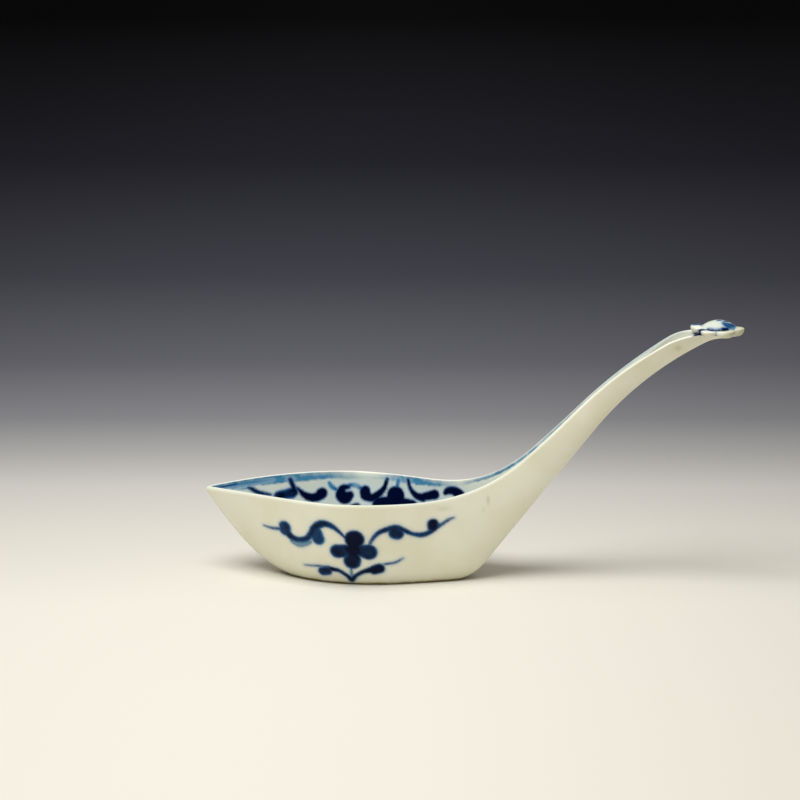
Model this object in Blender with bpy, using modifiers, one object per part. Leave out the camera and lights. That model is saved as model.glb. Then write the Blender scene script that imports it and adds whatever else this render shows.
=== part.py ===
"""Porcelain rice spoon: a pierced boat-shaped bowl, a channelled handle and a flower on its end.

The spoon stands on its flat base, with its lip towards -X, its handle rising towards +X and
+Z up. The origin is at the middle of the underside of its box. Inside the functions, x = 0 is
the front end of the flat base.
"""

import math
from typing import NamedTuple

import bmesh
import bpy
from mathutils import Matrix, Vector

MM = 0.001

# Bowl; places along X are measured from the front of the flat base
BOWL_WIDTH = 46.6 * MM
BOWL_WIDEST_AT = 15.5 * MM
LIP_REACH = 22.1 * MM  # overhang of the pointed lip in front of the base
LIP_HEIGHT = 22.3 * MM
LIP_WALL = 1.5 * MM
LIP_FULLNESS = 1.62  # 1 gives the lip straight sides, 2 round ones
WALL_CURVE = 1.55  # a wall's height grows with this power of its reach
RIM_HEIGHT = 23.3 * MM
RIM_LOW_HEIGHT = 22.6 * MM
RISE_LEAD = 8.95 * MM  # the rim starts to rise this far in front of the base's end
RISE_PULL = 0.39  # share of the rise over which each of its ends keeps its direction
RIM_WALL = 1.1 * MM
FLOOR = 3.0 * MM

# Flat base
BASE_LENGTH = 42.75 * MM
BASE_WIDTH = 23.0 * MM
BASE_WIDEST_AT = 21.0 * MM
FRONT_FULLNESS = 0.65  # of the flat's front half: 0.5 gives an ellipse, more a leaner oval
BACK_FULLNESS = 2.3  # of its back half, which runs out over the heel
RUN_OUT = 14.95 * MM  # the flat of the sections goes on this far up the heel and the back
WELL_INSET = 1.7 * MM  # the flat floor inside is this much smaller all round

# Piercing of the well: one hole in the middle and two oval rings
HOLE_DIAMETER = 2.4 * MM
INNER_RING_LENGTH = 13.0 * MM
INNER_RING_WIDTH = 7.6 * MM
INNER_RING_HOLES = 6
OUTER_RING_LENGTH = 25.0 * MM
OUTER_RING_WIDTH = 14.4 * MM
OUTER_RING_HOLES = 12

# Underside, from the end of the base over the heel and up the handle
HEEL_RADIUS = 11.0 * MM
BACK_SLOPE = math.radians(51.6)
ROOT_RUN = 31.42 * MM  # straight back of the bowl, up to the lute
STEM_RUN = 14.6 * MM  # straight start of the handle
BEND_RADIUS = 86.0 * MM
TOP_SLOPE = math.radians(27.5)
TOE_RADIUS = 10.0 * MM
TOE_RUN = 0.5 * MM  # level end below the flower

# Handle; places along it are measured from the lute
ROOT_WIDTH = 13.6 * MM
WAIST_WIDTH = 8.8 * MM
WAIST_AT = 22.0 * MM
SEAT_WIDTH = 15.6 * MM
SEAT_LENGTH = 12.0 * MM  # the end narrows over this length, under the flower
END_WIDTH = 4.0 * MM
ROOT_DEPTH = 9.0 * MM
TOP_DEPTH = 4.88 * MM
DEPTH_TAPER = 2.05  # 1 tapers the depth evenly, more takes it off near the root
SEAT_THICKNESS = 1.55 * MM
SEAT_EASING = 3.0 * MM  # rounds the corner between the handle's top and the level seat
HANDLE_CURVE = 2.3
ROOT_CHANNEL = 3.2 * MM
WAIST_CHANNEL = 1.6 * MM
LUTE_GAP = 0.3 * MM

# Flower on the end of the handle
PETALS = 6
PETAL_REACH = 6.85 * MM
PETAL_NOTCH = 1.8 * MM
PETAL_HEIGHT = 1.2 * MM
NOTCH_HEIGHT = 0.7 * MM
FRONT_LIFT = 0.6 * MM  # the petal towards the bowl curls up this much more
PETAL_PLUMPNESS = 2.8  # 2 rounds a petal like a circle, more like a cushion
PETAL_EDGE = 0.55  # height of a petal's edge as a share of its crest
PETAL_UNDERCUT = 1.5 * MM
PETAL_HANG = 1.0 * MM  # the petals hang this far over the end of the handle
HANG_START = math.radians(115.0)  # directions, from +X, where they start to hang and hang in full
HANG_FULL = math.radians(70.0)
RECESS_RADIUS = 3.3 * MM  # recess of the underside, round the end of the handle
RECESS_SLOPE = 0.3 * MM
FLOWER_SETBACK = 2.17 * MM
HEART_RADIUS = 4.4 * MM
HEART_HEIGHT = 1.75 * MM
HEART_SEAT_HEIGHT = 0.8 * MM

# Facets
PROW_STEPS = 16
WELL_STEPS = 5
BACK_STEPS = 24
HANDLE_STEPS = 24
WALL_STEPS = 9
FLAT_STEPS = 2
EDGE_STEPS = 3
HOLE_SIDES = 16
PETAL_SIDES = 10
PETAL_STEPS = 5
HEART_STEPS = 8
HEART_SIDES = 30
WELD = 0.0001 * MM
SHARP_ANGLE = math.radians(40.0)

PORCELAIN = (0.62, 0.59, 0.47, 1.0)
BLUE_WASH = (0.30, 0.34, 0.42, 1.0)
GLAZE_ROUGHNESS = 0.12


class Station(NamedTuple):
    """One section of a wall: a U with a flat bottom, from its keel out by lean and up to its rim."""

    keel: Vector
    lean: Vector
    up: Vector
    half_width: float
    half_flat: float
    curve: float

    def rim(self):
        """Rim point on the +Y side."""
        return self.keel + self.lean + self.up + Vector((0.0, self.half_width, 0.0))


def ease(start, end, fraction):
    """Go from start to end along half a cosine wave."""
    fraction = min(max(fraction, 0.0), 1.0)
    return end + (start - end) * 0.5 * (1.0 + math.cos(math.pi * fraction))


def mix(start, end, fraction):
    """Go from start to end in a straight line."""
    return start + (end - start) * fraction


def follow(start, heading, moves, distance):
    """Point and heading after a distance along straight runs and arcs in the XZ plane."""
    x, z = start
    for length, turn in moves:
        step = min(distance, length)
        if turn:
            radius = length / turn
            swept = turn * step / length
            x += radius * (math.sin(heading + swept) - math.sin(heading))
            z += radius * (math.cos(heading) - math.cos(heading + swept))
            heading += swept
        else:
            x += step * math.cos(heading)
            z += step * math.sin(heading)
        distance -= step
        if distance <= 0.0:
            break
    return Vector((x, 0.0, z)), heading


RIM_LOW_AT = BASE_LENGTH - RISE_LEAD
BACK_MOVES = ((HEEL_RADIUS * BACK_SLOPE, BACK_SLOPE), (ROOT_RUN, 0.0))
STEM_MOVES = (
    (STEM_RUN, 0.0),
    (BEND_RADIUS * (BACK_SLOPE - TOP_SLOPE), TOP_SLOPE - BACK_SLOPE),
    (TOE_RADIUS * TOP_SLOPE, -TOP_SLOPE),
    (TOE_RUN, 0.0),
)
BACK_LENGTH = sum(length for length, _ in BACK_MOVES)
STEM_LENGTH = sum(length for length, _ in STEM_MOVES)
ROOT, _ = follow((BASE_LENGTH, 0.0), 0.0, BACK_MOVES, BACK_LENGTH)
TOE, _ = follow((ROOT.x, ROOT.z), BACK_SLOPE, STEM_MOVES, STEM_LENGTH)
SEAT_Z = TOE.z + SEAT_THICKNESS
ROOT_RIM = ROOT + ROOT_DEPTH * Vector((-math.sin(BACK_SLOPE), 0.0, math.cos(BACK_SLOPE)))


def half_flat_at(distance, inset):
    """Half the width of the flat at a distance behind its widest place, less an inset."""
    offset = distance / (BASE_LENGTH - BASE_WIDEST_AT + RUN_OUT - inset)
    if offset > 1.0:
        return 0.0
    return (BASE_WIDTH / 2 - inset) * (1.0 - offset * offset) ** BACK_FULLNESS


def half_width_at(x, tip_x, wall):
    """Half the width of the bowl at its rim, less a wall, for a lip that ends at tip_x."""
    widest = BOWL_WIDTH / 2 - wall
    if x < BOWL_WIDEST_AT:
        left = max((BOWL_WIDEST_AT - x) / (BOWL_WIDEST_AT - tip_x), 0.0)
        return widest * (1.0 - min(left, 1.0) ** LIP_FULLNESS)
    fraction = (x - BOWL_WIDEST_AT) / (ROOT_RIM.x - BOWL_WIDEST_AT)
    return ease(widest, ROOT_WIDTH / 2 - wall, fraction)


def rim_height_at(x):
    """Height of the rim over the prow and the well."""
    if x < 0.0:
        return RIM_HEIGHT + (LIP_HEIGHT - RIM_HEIGHT) * (x / LIP_REACH) ** 2
    return ease(RIM_HEIGHT, RIM_LOW_HEIGHT, x / RIM_LOW_AT)


def rim_rise(fraction):
    """Point on the rim's sweep from its low place up to the root of the handle."""
    start = Vector((RIM_LOW_AT, 0.0, RIM_LOW_HEIGHT))
    pull = RISE_PULL * (ROOT_RIM - start).length
    slope = BACK_SLOPE - math.atan2(DEPTH_TAPER * (ROOT_DEPTH - TOP_DEPTH), STEM_LENGTH)
    after = start + pull * Vector((1.0, 0.0, 0.0))
    before = ROOT_RIM - pull * Vector((math.cos(slope), 0.0, math.sin(slope)))
    rest = 1.0 - fraction
    return (
        rest**3 * start
        + 3 * rest**2 * fraction * after
        + 3 * rest * fraction**2 * before
        + fraction**3 * ROOT_RIM
    )


def prow_stations(fraction):
    """Outer and inner section of the front, fanned from the flat's front half out to the lip."""
    swing = math.pi / 2 * fraction
    pair = []
    for reach, wall, floor, inset in (
        (LIP_REACH, 0.0, 0.0, 0.0),
        (LIP_REACH - LIP_WALL, RIM_WALL, FLOOR, WELL_INSET),
    ):
        keel_x = BASE_WIDEST_AT - (BASE_WIDEST_AT - inset) * math.cos(swing)
        rim_x = mix(-reach, BASE_WIDEST_AT, fraction)
        flat = (BASE_WIDTH / 2 - inset) * math.sin(swing) ** (2 * FRONT_FULLNESS)
        lean = Vector((rim_x - keel_x, 0.0, 0.0))
        up = Vector((0.0, 0.0, rim_height_at(rim_x) - floor))
        width = half_width_at(rim_x, -reach, wall)
        pair.append(Station(Vector((keel_x, 0.0, floor)), lean, up, width, flat, WALL_CURVE))
    return pair


def well_stations(fraction):
    """Outer and inner upright section, from the widest of the flat to the rim's low place."""
    x = mix(BASE_WIDEST_AT, RIM_LOW_AT, fraction)
    pair = []
    for tip_x, wall, floor, inset in (
        (-LIP_REACH, 0.0, 0.0, 0.0),
        (LIP_WALL - LIP_REACH, RIM_WALL, FLOOR, WELL_INSET),
    ):
        up = Vector((0.0, 0.0, rim_height_at(x) - floor))
        width = half_width_at(x, tip_x, wall)
        flat = half_flat_at(x - BASE_WIDEST_AT, inset)
        pair.append(Station(Vector((x, 0.0, floor)), Vector(), up, width, flat, WALL_CURVE))
    return pair


def back_stations(fraction):
    """Outer and inner section that leans back, from the well to the root of the handle."""
    moves = ((RISE_LEAD, 0.0),) + BACK_MOVES
    distance = (RISE_LEAD + BACK_LENGTH) * fraction
    keel, _ = follow((RIM_LOW_AT, 0.0), 0.0, moves, distance)
    rim = rim_rise(fraction)
    floor = mix(FLOOR, ROOT_DEPTH - ROOT_CHANNEL, fraction)
    inner_keel = keel + floor * (rim - keel).normalized()
    width = half_width_at(rim.x, -LIP_REACH, 0.0)
    curve = mix(WALL_CURVE, HANDLE_CURVE, fraction)
    behind = RIM_LOW_AT - BASE_WIDEST_AT + distance
    flat = half_flat_at(behind, 0.0)
    inner_flat = half_flat_at(behind, WELL_INSET)
    return [
        Station(keel, Vector(), rim - keel, width, flat, curve),
        Station(inner_keel, Vector(), rim - inner_keel, width - RIM_WALL, inner_flat, curve),
    ]


def stem_half_width(distance):
    """Half the width of the handle at a distance from its root."""
    seat_at = STEM_LENGTH - SEAT_LENGTH
    if distance < WAIST_AT:
        return ease(ROOT_WIDTH, WAIST_WIDTH, distance / WAIST_AT) / 2
    if distance < seat_at:
        return ease(WAIST_WIDTH, SEAT_WIDTH, (distance - WAIST_AT) / (seat_at - WAIST_AT)) / 2
    return ease(SEAT_WIDTH, END_WIDTH, (distance - seat_at) / SEAT_LENGTH) / 2


def softer_minimum(first, second, easing):
    """The smaller of two lengths, rounded off where they cross."""
    gap = max(easing - abs(first - second), 0.0) / easing
    return min(first, second) - easing * gap * gap / 4


def stem_stations(distance):
    """Outer and inner section of the handle, square to its underside."""
    keel, heading = follow((ROOT.x, ROOT.z), BACK_SLOPE, STEM_MOVES, distance)
    normal = Vector((-math.sin(heading), 0.0, math.cos(heading)))
    seat_at = STEM_LENGTH - SEAT_LENGTH
    depth = mix(TOP_DEPTH, ROOT_DEPTH, (1.0 - distance / STEM_LENGTH) ** DEPTH_TAPER)
    depth = softer_minimum(depth, (SEAT_Z - keel.z) / normal.z, SEAT_EASING)
    if distance < WAIST_AT:
        channel = ease(ROOT_CHANNEL, WAIST_CHANNEL, distance / WAIST_AT)
    else:
        channel = ease(WAIST_CHANNEL, 0.0, (distance - WAIST_AT) / (seat_at - WAIST_AT))
    up = depth * normal
    width = stem_half_width(distance)
    inner_keel = keel + (depth - channel) * normal
    inner_up = channel * normal
    return [
        Station(keel, Vector(), up, width, 0.0, HANDLE_CURVE),
        Station(inner_keel, Vector(), inner_up, width - RIM_WALL, 0.0, HANDLE_CURVE),
    ]


def half_section(station, top_trim):
    """Points from the middle of a section's bottom to its rim, on the +Y side."""
    height = station.up.length
    trimmed = station.up * (max(height - top_trim, 0.0) / height if height else 0.0)
    across = Vector((0.0, 1.0, 0.0))
    points = []
    for step in range(FLAT_STEPS):
        points.append(station.keel + across * (station.half_flat * step / FLAT_STEPS))
    for step in range(WALL_STEPS + 1):
        part = step / WALL_STEPS
        y = mix(station.half_flat, station.half_width, part)
        rise = station.lean * part + trimmed * part**station.curve
        points.append(station.keel + across * y + rise)
    return points


def mirrored(points):
    """The same points on the -Y side."""
    return [Vector((point.x, -point.y, point.z)) for point in points]


def edge_arc(start, end, up):
    """Points of a half-round edge between two points, without the two."""
    radius = (end - start).length / 2
    points = []
    for step in range(1, EDGE_STEPS + 1):
        angle = math.pi * step / (EDGE_STEPS + 1)
        place = start.lerp(end, (1.0 - math.cos(angle)) / 2)
        points.append(place + up * (radius * math.sin(angle)))
    return points


def ring(outer, inner, roundness):
    """Closed loop of points round one section: outside, far edge, inside, near edge."""
    trim = roundness * (outer.rim() - inner.rim()).length / 2
    up = outer.up.normalized() * roundness
    outside = half_section(outer, trim)
    inside = half_section(inner, trim)
    far_edge = edge_arc(outside[-1], inside[-1], up)
    loop = list(reversed(mirrored(outside)))
    loop += outside[1:] + far_edge + list(reversed(inside))
    loop += mirrored(inside)[1:] + list(reversed(mirrored(far_edge)))
    return loop


def loft(name, loops, closed_start, closed_end):
    """Mesh object through loops of points, with a flat face over each closed end."""
    mesh_work = bmesh.new()
    rows = [[mesh_work.verts.new(point) for point in loop] for loop in loops]
    for row, following in zip(rows, rows[1:]):
        for index in range(len(row)):
            after = (index + 1) % len(row)
            mesh_work.faces.new((row[index], row[after], following[after], following[index]))
    if closed_start:
        mesh_work.faces.new(rows[0])
    if closed_end:
        mesh_work.faces.new(rows[-1])
    bmesh.ops.remove_doubles(mesh_work, verts=mesh_work.verts, dist=WELD)
    bmesh.ops.recalc_face_normals(mesh_work, faces=mesh_work.faces)
    return finish_mesh(name, mesh_work)


def finish_mesh(name, mesh_work):
    """Turn a bmesh into a smooth-shaded object."""
    mesh = bpy.data.meshes.new(name)
    mesh_work.to_mesh(mesh)
    mesh_work.free()
    mesh.shade_smooth()
    mesh.set_sharp_from_angle(angle=SHARP_ANGLE)
    return bpy.data.objects.new(name, mesh)


def glazed(name, colour):
    """Principled material of a glazed surface."""
    material = bpy.data.materials.new(name)
    material.use_nodes = True
    shader = material.node_tree.nodes["Principled BSDF"]
    shader.inputs["Base Color"].default_value = colour
    shader.inputs["Roughness"].default_value = GLAZE_ROUGHNESS
    shader.inputs["Metallic"].default_value = 0.0
    return material


def make_bowl():
    """Shell of the bowl, from the tip of the lip to the lute with the handle."""
    sections = [prow_stations(step / PROW_STEPS) for step in range(PROW_STEPS)]
    sections += [well_stations(step / WELL_STEPS) for step in range(WELL_STEPS)]
    lute = 1.0 - LUTE_GAP / 2 / (RISE_LEAD + BACK_LENGTH)
    sections += [back_stations(lute * step / BACK_STEPS) for step in range(BACK_STEPS + 1)]
    loops = [ring(outer, inner, 1.0) for outer, inner in sections]
    return loft("bowl", loops, closed_start=False, closed_end=True)


def make_piercing():
    """Cutter with one upright cylinder for each hole of the well."""
    mesh_work = bmesh.new()
    centre_x = BASE_WIDEST_AT
    places = [(centre_x, 0.0)]
    rings = (
        (INNER_RING_LENGTH, INNER_RING_WIDTH, INNER_RING_HOLES),
        (OUTER_RING_LENGTH, OUTER_RING_WIDTH, OUTER_RING_HOLES),
    )
    for length, width, count in rings:
        for number in range(count):
            angle = 2 * math.pi * number / count
            x = centre_x + length / 2 * math.cos(angle)
            places.append((x, width / 2 * math.sin(angle)))
    for x, y in places:
        bmesh.ops.create_cone(
            mesh_work,
            cap_ends=True,
            segments=HOLE_SIDES,
            radius1=HOLE_DIAMETER / 2,
            radius2=HOLE_DIAMETER / 2,
            depth=FLOOR * 3,
            matrix=Matrix.Translation((x, y, FLOOR / 2)),
        )
    return finish_mesh("well_piercing", mesh_work)


def make_handle():
    """Stem with its channel, from the lute with the bowl to the seat of the flower."""
    start = LUTE_GAP / 2
    seat_at = STEM_LENGTH - SEAT_LENGTH
    loops = []
    for step in range(HANDLE_STEPS + 1):
        distance = mix(start, STEM_LENGTH, step / HANDLE_STEPS)
        outer, inner = stem_stations(distance)
        roundness = 1.0 - min(max((distance - WAIST_AT) / (seat_at - WAIST_AT), 0.0), 1.0)
        loops.append(ring(outer, inner, roundness))
    return loft("handle", loops, closed_start=True, closed_end=True)


def flower_centre_point():
    """Middle of the flower's underside, above its seat."""
    return Vector((TOE.x - FLOWER_SETBACK, 0.0, SEAT_Z + LUTE_GAP))


def petal_outline(angle):
    """Reach of the petals in one direction, and the height of their crest there."""
    lobe = abs(math.cos(PETALS / 2 * (angle - math.pi)))
    lift = FRONT_LIFT * lobe * max(-math.cos(angle), 0.0) ** 3
    crest = mix(NOTCH_HEIGHT, PETAL_HEIGHT, math.sqrt(lobe)) + lift
    return PETAL_REACH - PETAL_NOTCH * (1.0 - lobe), crest


def petal_hang(angle):
    """How far the petals hang below their seat in one direction, none where the handle comes in."""
    turn = min(angle, 2 * math.pi - angle)
    return ease(0.0, PETAL_HANG, (HANG_START - turn) / (HANG_START - HANG_FULL))


def petal_angles():
    """Directions of the facets round the flower."""
    count = PETALS * PETAL_SIDES
    return [2 * math.pi * number / count for number in range(count)]


def flower_loop(radius_at, height_at):
    """Loop of points round the flower, for a radius and a height in each direction."""
    middle = flower_centre_point()
    loop = []
    for angle in petal_angles():
        radius = radius_at(angle)
        offset = Vector((radius * math.cos(angle), radius * math.sin(angle), height_at(angle)))
        loop.append(middle + offset)
    return loop


def make_petals():
    """Plump petals in one rosette, with a seat for the heart and a recess for the handle's end."""
    seat_radius = HEART_RADIUS + LUTE_GAP
    loops = [flower_loop(lambda angle: seat_radius, lambda angle: HEART_SEAT_HEIGHT)]
    for step in range(1, PETAL_STEPS + 1):
        along = math.sin(math.pi / 2 * step / PETAL_STEPS)
        plump = (1.0 - along**PETAL_PLUMPNESS) ** (1.0 / PETAL_PLUMPNESS)
        share = mix(PETAL_EDGE, 1.0, plump)
        loops.append(
            flower_loop(
                lambda angle: mix(seat_radius, petal_outline(angle)[0], along),
                lambda angle: share * petal_outline(angle)[1],
            )
        )
    for radius_at in (lambda angle: petal_outline(angle)[0] - PETAL_UNDERCUT, lambda angle: RECESS_RADIUS):
        loops.append(flower_loop(radius_at, lambda angle: -petal_hang(angle)))
    loops.append(flower_loop(lambda angle: RECESS_RADIUS - RECESS_SLOPE, lambda angle: 0.0))
    return loft("terminal_flower", loops, closed_start=True, closed_end=True)


def make_heart():
    """Domed heart of the flower, turned about its own axis."""
    profile = []
    for step in range(HEART_STEPS + 1):
        angle = math.pi / 2 * step / HEART_STEPS
        profile.append((HEART_RADIUS * math.sin(angle), 0.0, HEART_HEIGHT * math.cos(angle)))
    profile.append((0.0, 0.0, 0.0))
    mesh = bpy.data.meshes.new("flower_centre")
    edges = [(index, index + 1) for index in range(len(profile) - 1)]
    mesh.from_pydata(profile, edges, [])
    heart = bpy.data.objects.new("flower_centre", mesh)
    heart.location = flower_centre_point() + Vector((0.0, 0.0, HEART_SEAT_HEIGHT + LUTE_GAP))
    screw = heart.modifiers.new("turned", "SCREW")
    screw.steps = HEART_SIDES
    screw.render_steps = HEART_SIDES
    screw.use_merge_vertices = True
    screw.merge_threshold = WELD
    return heart


def place(objects, collection, root):
    """Put objects in a collection, carried by the root empty."""
    for item in objects:
        collection.objects.link(item)
        item.parent = root


def main():
    """Build the spoon."""
    for item in list(bpy.data.objects):
        bpy.data.objects.remove(item, do_unlink=True)
    spoon = bpy.data.collections.new("pierced_spoon")
    cutters = bpy.data.collections.new("pierced_spoon_cutters")
    for collection in (spoon, cutters):
        bpy.context.scene.collection.children.link(collection)

    front = -LIP_REACH
    overhang = max(petal_outline(angle)[0] * math.cos(angle) for angle in petal_angles())
    rear = flower_centre_point().x + overhang
    root = bpy.data.objects.new("spoon_origin", None)
    root.location = (-(front + rear) / 2, 0.0, 0.0)
    spoon.objects.link(root)

    bowl = make_bowl()
    piercing = make_piercing()
    piercing.hide_render = True
    piercing.display_type = "WIRE"
    pierce = bowl.modifiers.new("pierced_well", "BOOLEAN")
    pierce.operation = "DIFFERENCE"
    pierce.object = piercing
    bowl.data.materials.append(glazed("bowl_glaze", PORCELAIN))

    handle = make_handle()
    handle.data.materials.append(glazed("handle_glaze", PORCELAIN))
    petals = make_petals()
    petals.data.materials.append(glazed("petal_glaze", PORCELAIN))
    heart = make_heart()
    heart.data.materials.append(glazed("heart_glaze", BLUE_WASH))

    place((bowl, handle, petals, heart), spoon, root)
    place((piercing,), cutters, root)


main()
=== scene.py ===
"""Dressed model of a blue-and-white porcelain spoon with a pierced well.

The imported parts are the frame. The bowl, the handle, the flower on its end and the flower's heart
are each replaced by a finer mesh of the same form, glazed and painted in underglaze cobalt.
Lengths are in millimetres until a mesh is made, and x = 0 is the front end of the flat base.
"""

import logging
import math
from dataclasses import dataclass, field
from enum import Enum
from functools import partial
from typing import Any, Callable, Sequence

import bmesh
import bpy
import numpy as np
from bpy.types import ID, Material, Mesh, NodeSocket, NodeTree, Object
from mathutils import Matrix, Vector
from mathutils.kdtree import KDTree


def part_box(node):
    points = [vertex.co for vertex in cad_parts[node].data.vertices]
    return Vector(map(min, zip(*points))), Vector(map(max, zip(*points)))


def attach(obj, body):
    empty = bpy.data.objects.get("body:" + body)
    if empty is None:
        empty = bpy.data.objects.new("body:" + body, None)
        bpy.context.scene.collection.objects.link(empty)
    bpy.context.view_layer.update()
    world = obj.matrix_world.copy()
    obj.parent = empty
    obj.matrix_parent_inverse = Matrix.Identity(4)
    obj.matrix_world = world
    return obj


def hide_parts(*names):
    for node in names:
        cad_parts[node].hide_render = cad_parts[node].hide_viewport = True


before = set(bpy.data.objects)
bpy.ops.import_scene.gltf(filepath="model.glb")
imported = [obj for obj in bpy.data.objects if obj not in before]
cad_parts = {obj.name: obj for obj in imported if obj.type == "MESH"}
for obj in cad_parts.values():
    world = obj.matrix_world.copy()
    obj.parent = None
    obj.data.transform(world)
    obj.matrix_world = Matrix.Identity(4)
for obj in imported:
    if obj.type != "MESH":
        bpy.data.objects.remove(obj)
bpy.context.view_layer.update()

Array = np.ndarray
Pair = tuple[float, float]
Triple = tuple[float, float, float]
Course = tuple[tuple[float, ...], tuple[float, ...]]  # places along x, and the value at each
AddNode = Callable[..., NodeSocket]
Sockets = dict[str, NodeSocket]
LOG = logging.getLogger("spoon")
MM = 0.001
WELD = 0.0001 * MM  # points closer than this are one
SEAM = 0.001 * MM  # points closer than this to a seam are on it
TINY = 1e-9  # keeps a divisor from being 0
BLEED = 1.2  # the painted depth is counted from this far outside a stroke's edge, in mm
OVERLAP = 0.3  # strokes blend where their depths differ by less than about this, in mm
SPAN_SAMPLES = 12  # samples of a stroke between two of its points
NOISE, RANGE, MATH, MIX = "ShaderNodeTexNoise", "ShaderNodeMapRange", "ShaderNodeMath", "ShaderNodeMix"
MIX_FACTOR, MIX_A, MIX_B, MIX_RESULT = 0, 6, 7, 2  # sockets of a Mix node set to colour
SMOOTH = {"interpolation_type": "SMOOTHSTEP"}
COLOUR = {"data_type": "RGBA"}


def linear(hex_colour: str) -> tuple[float, float, float, float]:
    """Turn an sRGB hex colour into linear light.

    Args:
        hex_colour: colour as #rrggbb.

    Returns:
        Linear red, green and blue, with full alpha.
    """
    values = [int(hex_colour[start:start + 2], 16) / 255 for start in (1, 3, 5)]
    red, green, blue = (v / 12.92 if v <= 0.04045 else ((v + 0.055) / 1.055) ** 2.4 for v in values)
    return red, green, blue, 1.0


def mix(start: Any, end: Any, fraction: Any) -> Any:
    """Go from start to end in a straight line."""
    return start + (end - start) * fraction


def ease(start: Any, end: Any, fraction: Any) -> Any:
    """Go from start to end along half a cosine wave, and stay at the ends beyond."""
    return end + (start - end) * 0.5 * (1.0 + np.cos(np.pi * np.clip(fraction, 0.0, 1.0)))


def vector_rows(x: Any, y: Any, z: Any) -> Array:
    """Stack coordinates, numbers or arrays, into rows of three."""
    return np.stack(np.broadcast_arrays(x, y, z), axis=-1).astype(float)


def smooth_curve(points: Sequence[Sequence[float]], per_span: int) -> Array:
    """Sample a smooth curve through points.

    Args:
        points: points of any size, at least one.
        per_span: samples between two points.

    Returns:
        Samples along a Catmull-Rom curve, one row each.
    """
    rows = np.array(points, float)
    if len(rows) < 2:
        return rows
    padded = np.vstack([2 * rows[0] - rows[1], rows, 2 * rows[-1] - rows[-2]])
    t = np.linspace(0.0, 1.0, per_span, endpoint=False)[:, None]
    spans = []
    for before, start, end, after in zip(padded, padded[1:], padded[2:], padded[3:]):
        square = 2 * before - 5 * start + 4 * end - after
        cube = 3 * start - before - 3 * end + after
        spans.append((2 * start + (end - before) * t + square * t**2 + cube * t**3) / 2)
    return np.vstack([*spans, rows[-1:]])


def add_node(tree: NodeTree, kind: str, inputs: Any = (), result: Any = 0, **settings: Any) -> NodeSocket:
    """Add a node with its settings and links.

    Args:
        tree: tree that the node goes in.
        kind: the node's type name.
        inputs: sockets to link from or values to set, in the inputs' order or by name or number.
        result: name or number of the output that is wanted.
        settings: attributes to set on the node.

    Returns:
        That output of the new node.
    """
    node = tree.nodes.new(kind)
    for name, value in settings.items():
        setattr(node, name, value)
    for name, value in inputs.items() if isinstance(inputs, dict) else enumerate(inputs):
        if isinstance(value, NodeSocket):
            tree.links.new(value, node.inputs[name])
        else:
            node.inputs[name].default_value = value
    return node.outputs[result]


def add_object(name: str, data: ID) -> Object:
    """Put an object in the scene.

    Args:
        name: name of the object.
        data: its mesh, lamp or camera.

    Returns:
        The object.
    """
    thing = bpy.data.objects.new(name, data)
    bpy.context.scene.collection.objects.link(thing)
    return thing


class Surface(Enum):
    """Surface that a stroke is painted on, which says what its points measure."""

    OUTSIDE = "x and height, outside of a wall"
    INSIDE = "x and height, inside of a wall"
    FLOWER = "x and y from the middle of the flower"


@dataclass(frozen=True)
class Stroke:
    """One pass of a loaded brush along a smooth curve.

    Attributes:
        pigment: 0 for a thin wash and 1 for a full brush.
        points: the curve, each with two places and the half width there, in mm.
    """

    pigment: float
    points: tuple[Triple, ...]

    def depth(self, places: Array) -> Array:
        """Depth of places below a line that runs a bleed's width outside the stroke.

        Args:
            places: rows of two lengths in mm on the stroke's surface.

        Returns:
            Depth in mm, 0 where the brush didn't reach.
        """
        samples = smooth_curve(self.points, SPAN_SAMPLES)
        reach = samples[:, 2].max() + BLEED
        low, high = samples[:, :2].min(0) - reach, samples[:, :2].max(0) + reach
        near = np.flatnonzero(((places >= low) & (places <= high)).all(1))
        found = np.zeros(len(places))
        if len(near):
            gaps = places[near][:, None, :] - samples[None, :, :2]
            edges = np.hypot(gaps[..., 0], gaps[..., 1]) - samples[None, :, 2]
            found[near] = np.clip(BLEED - edges.min(1), 0.0, None)
        return found


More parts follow.
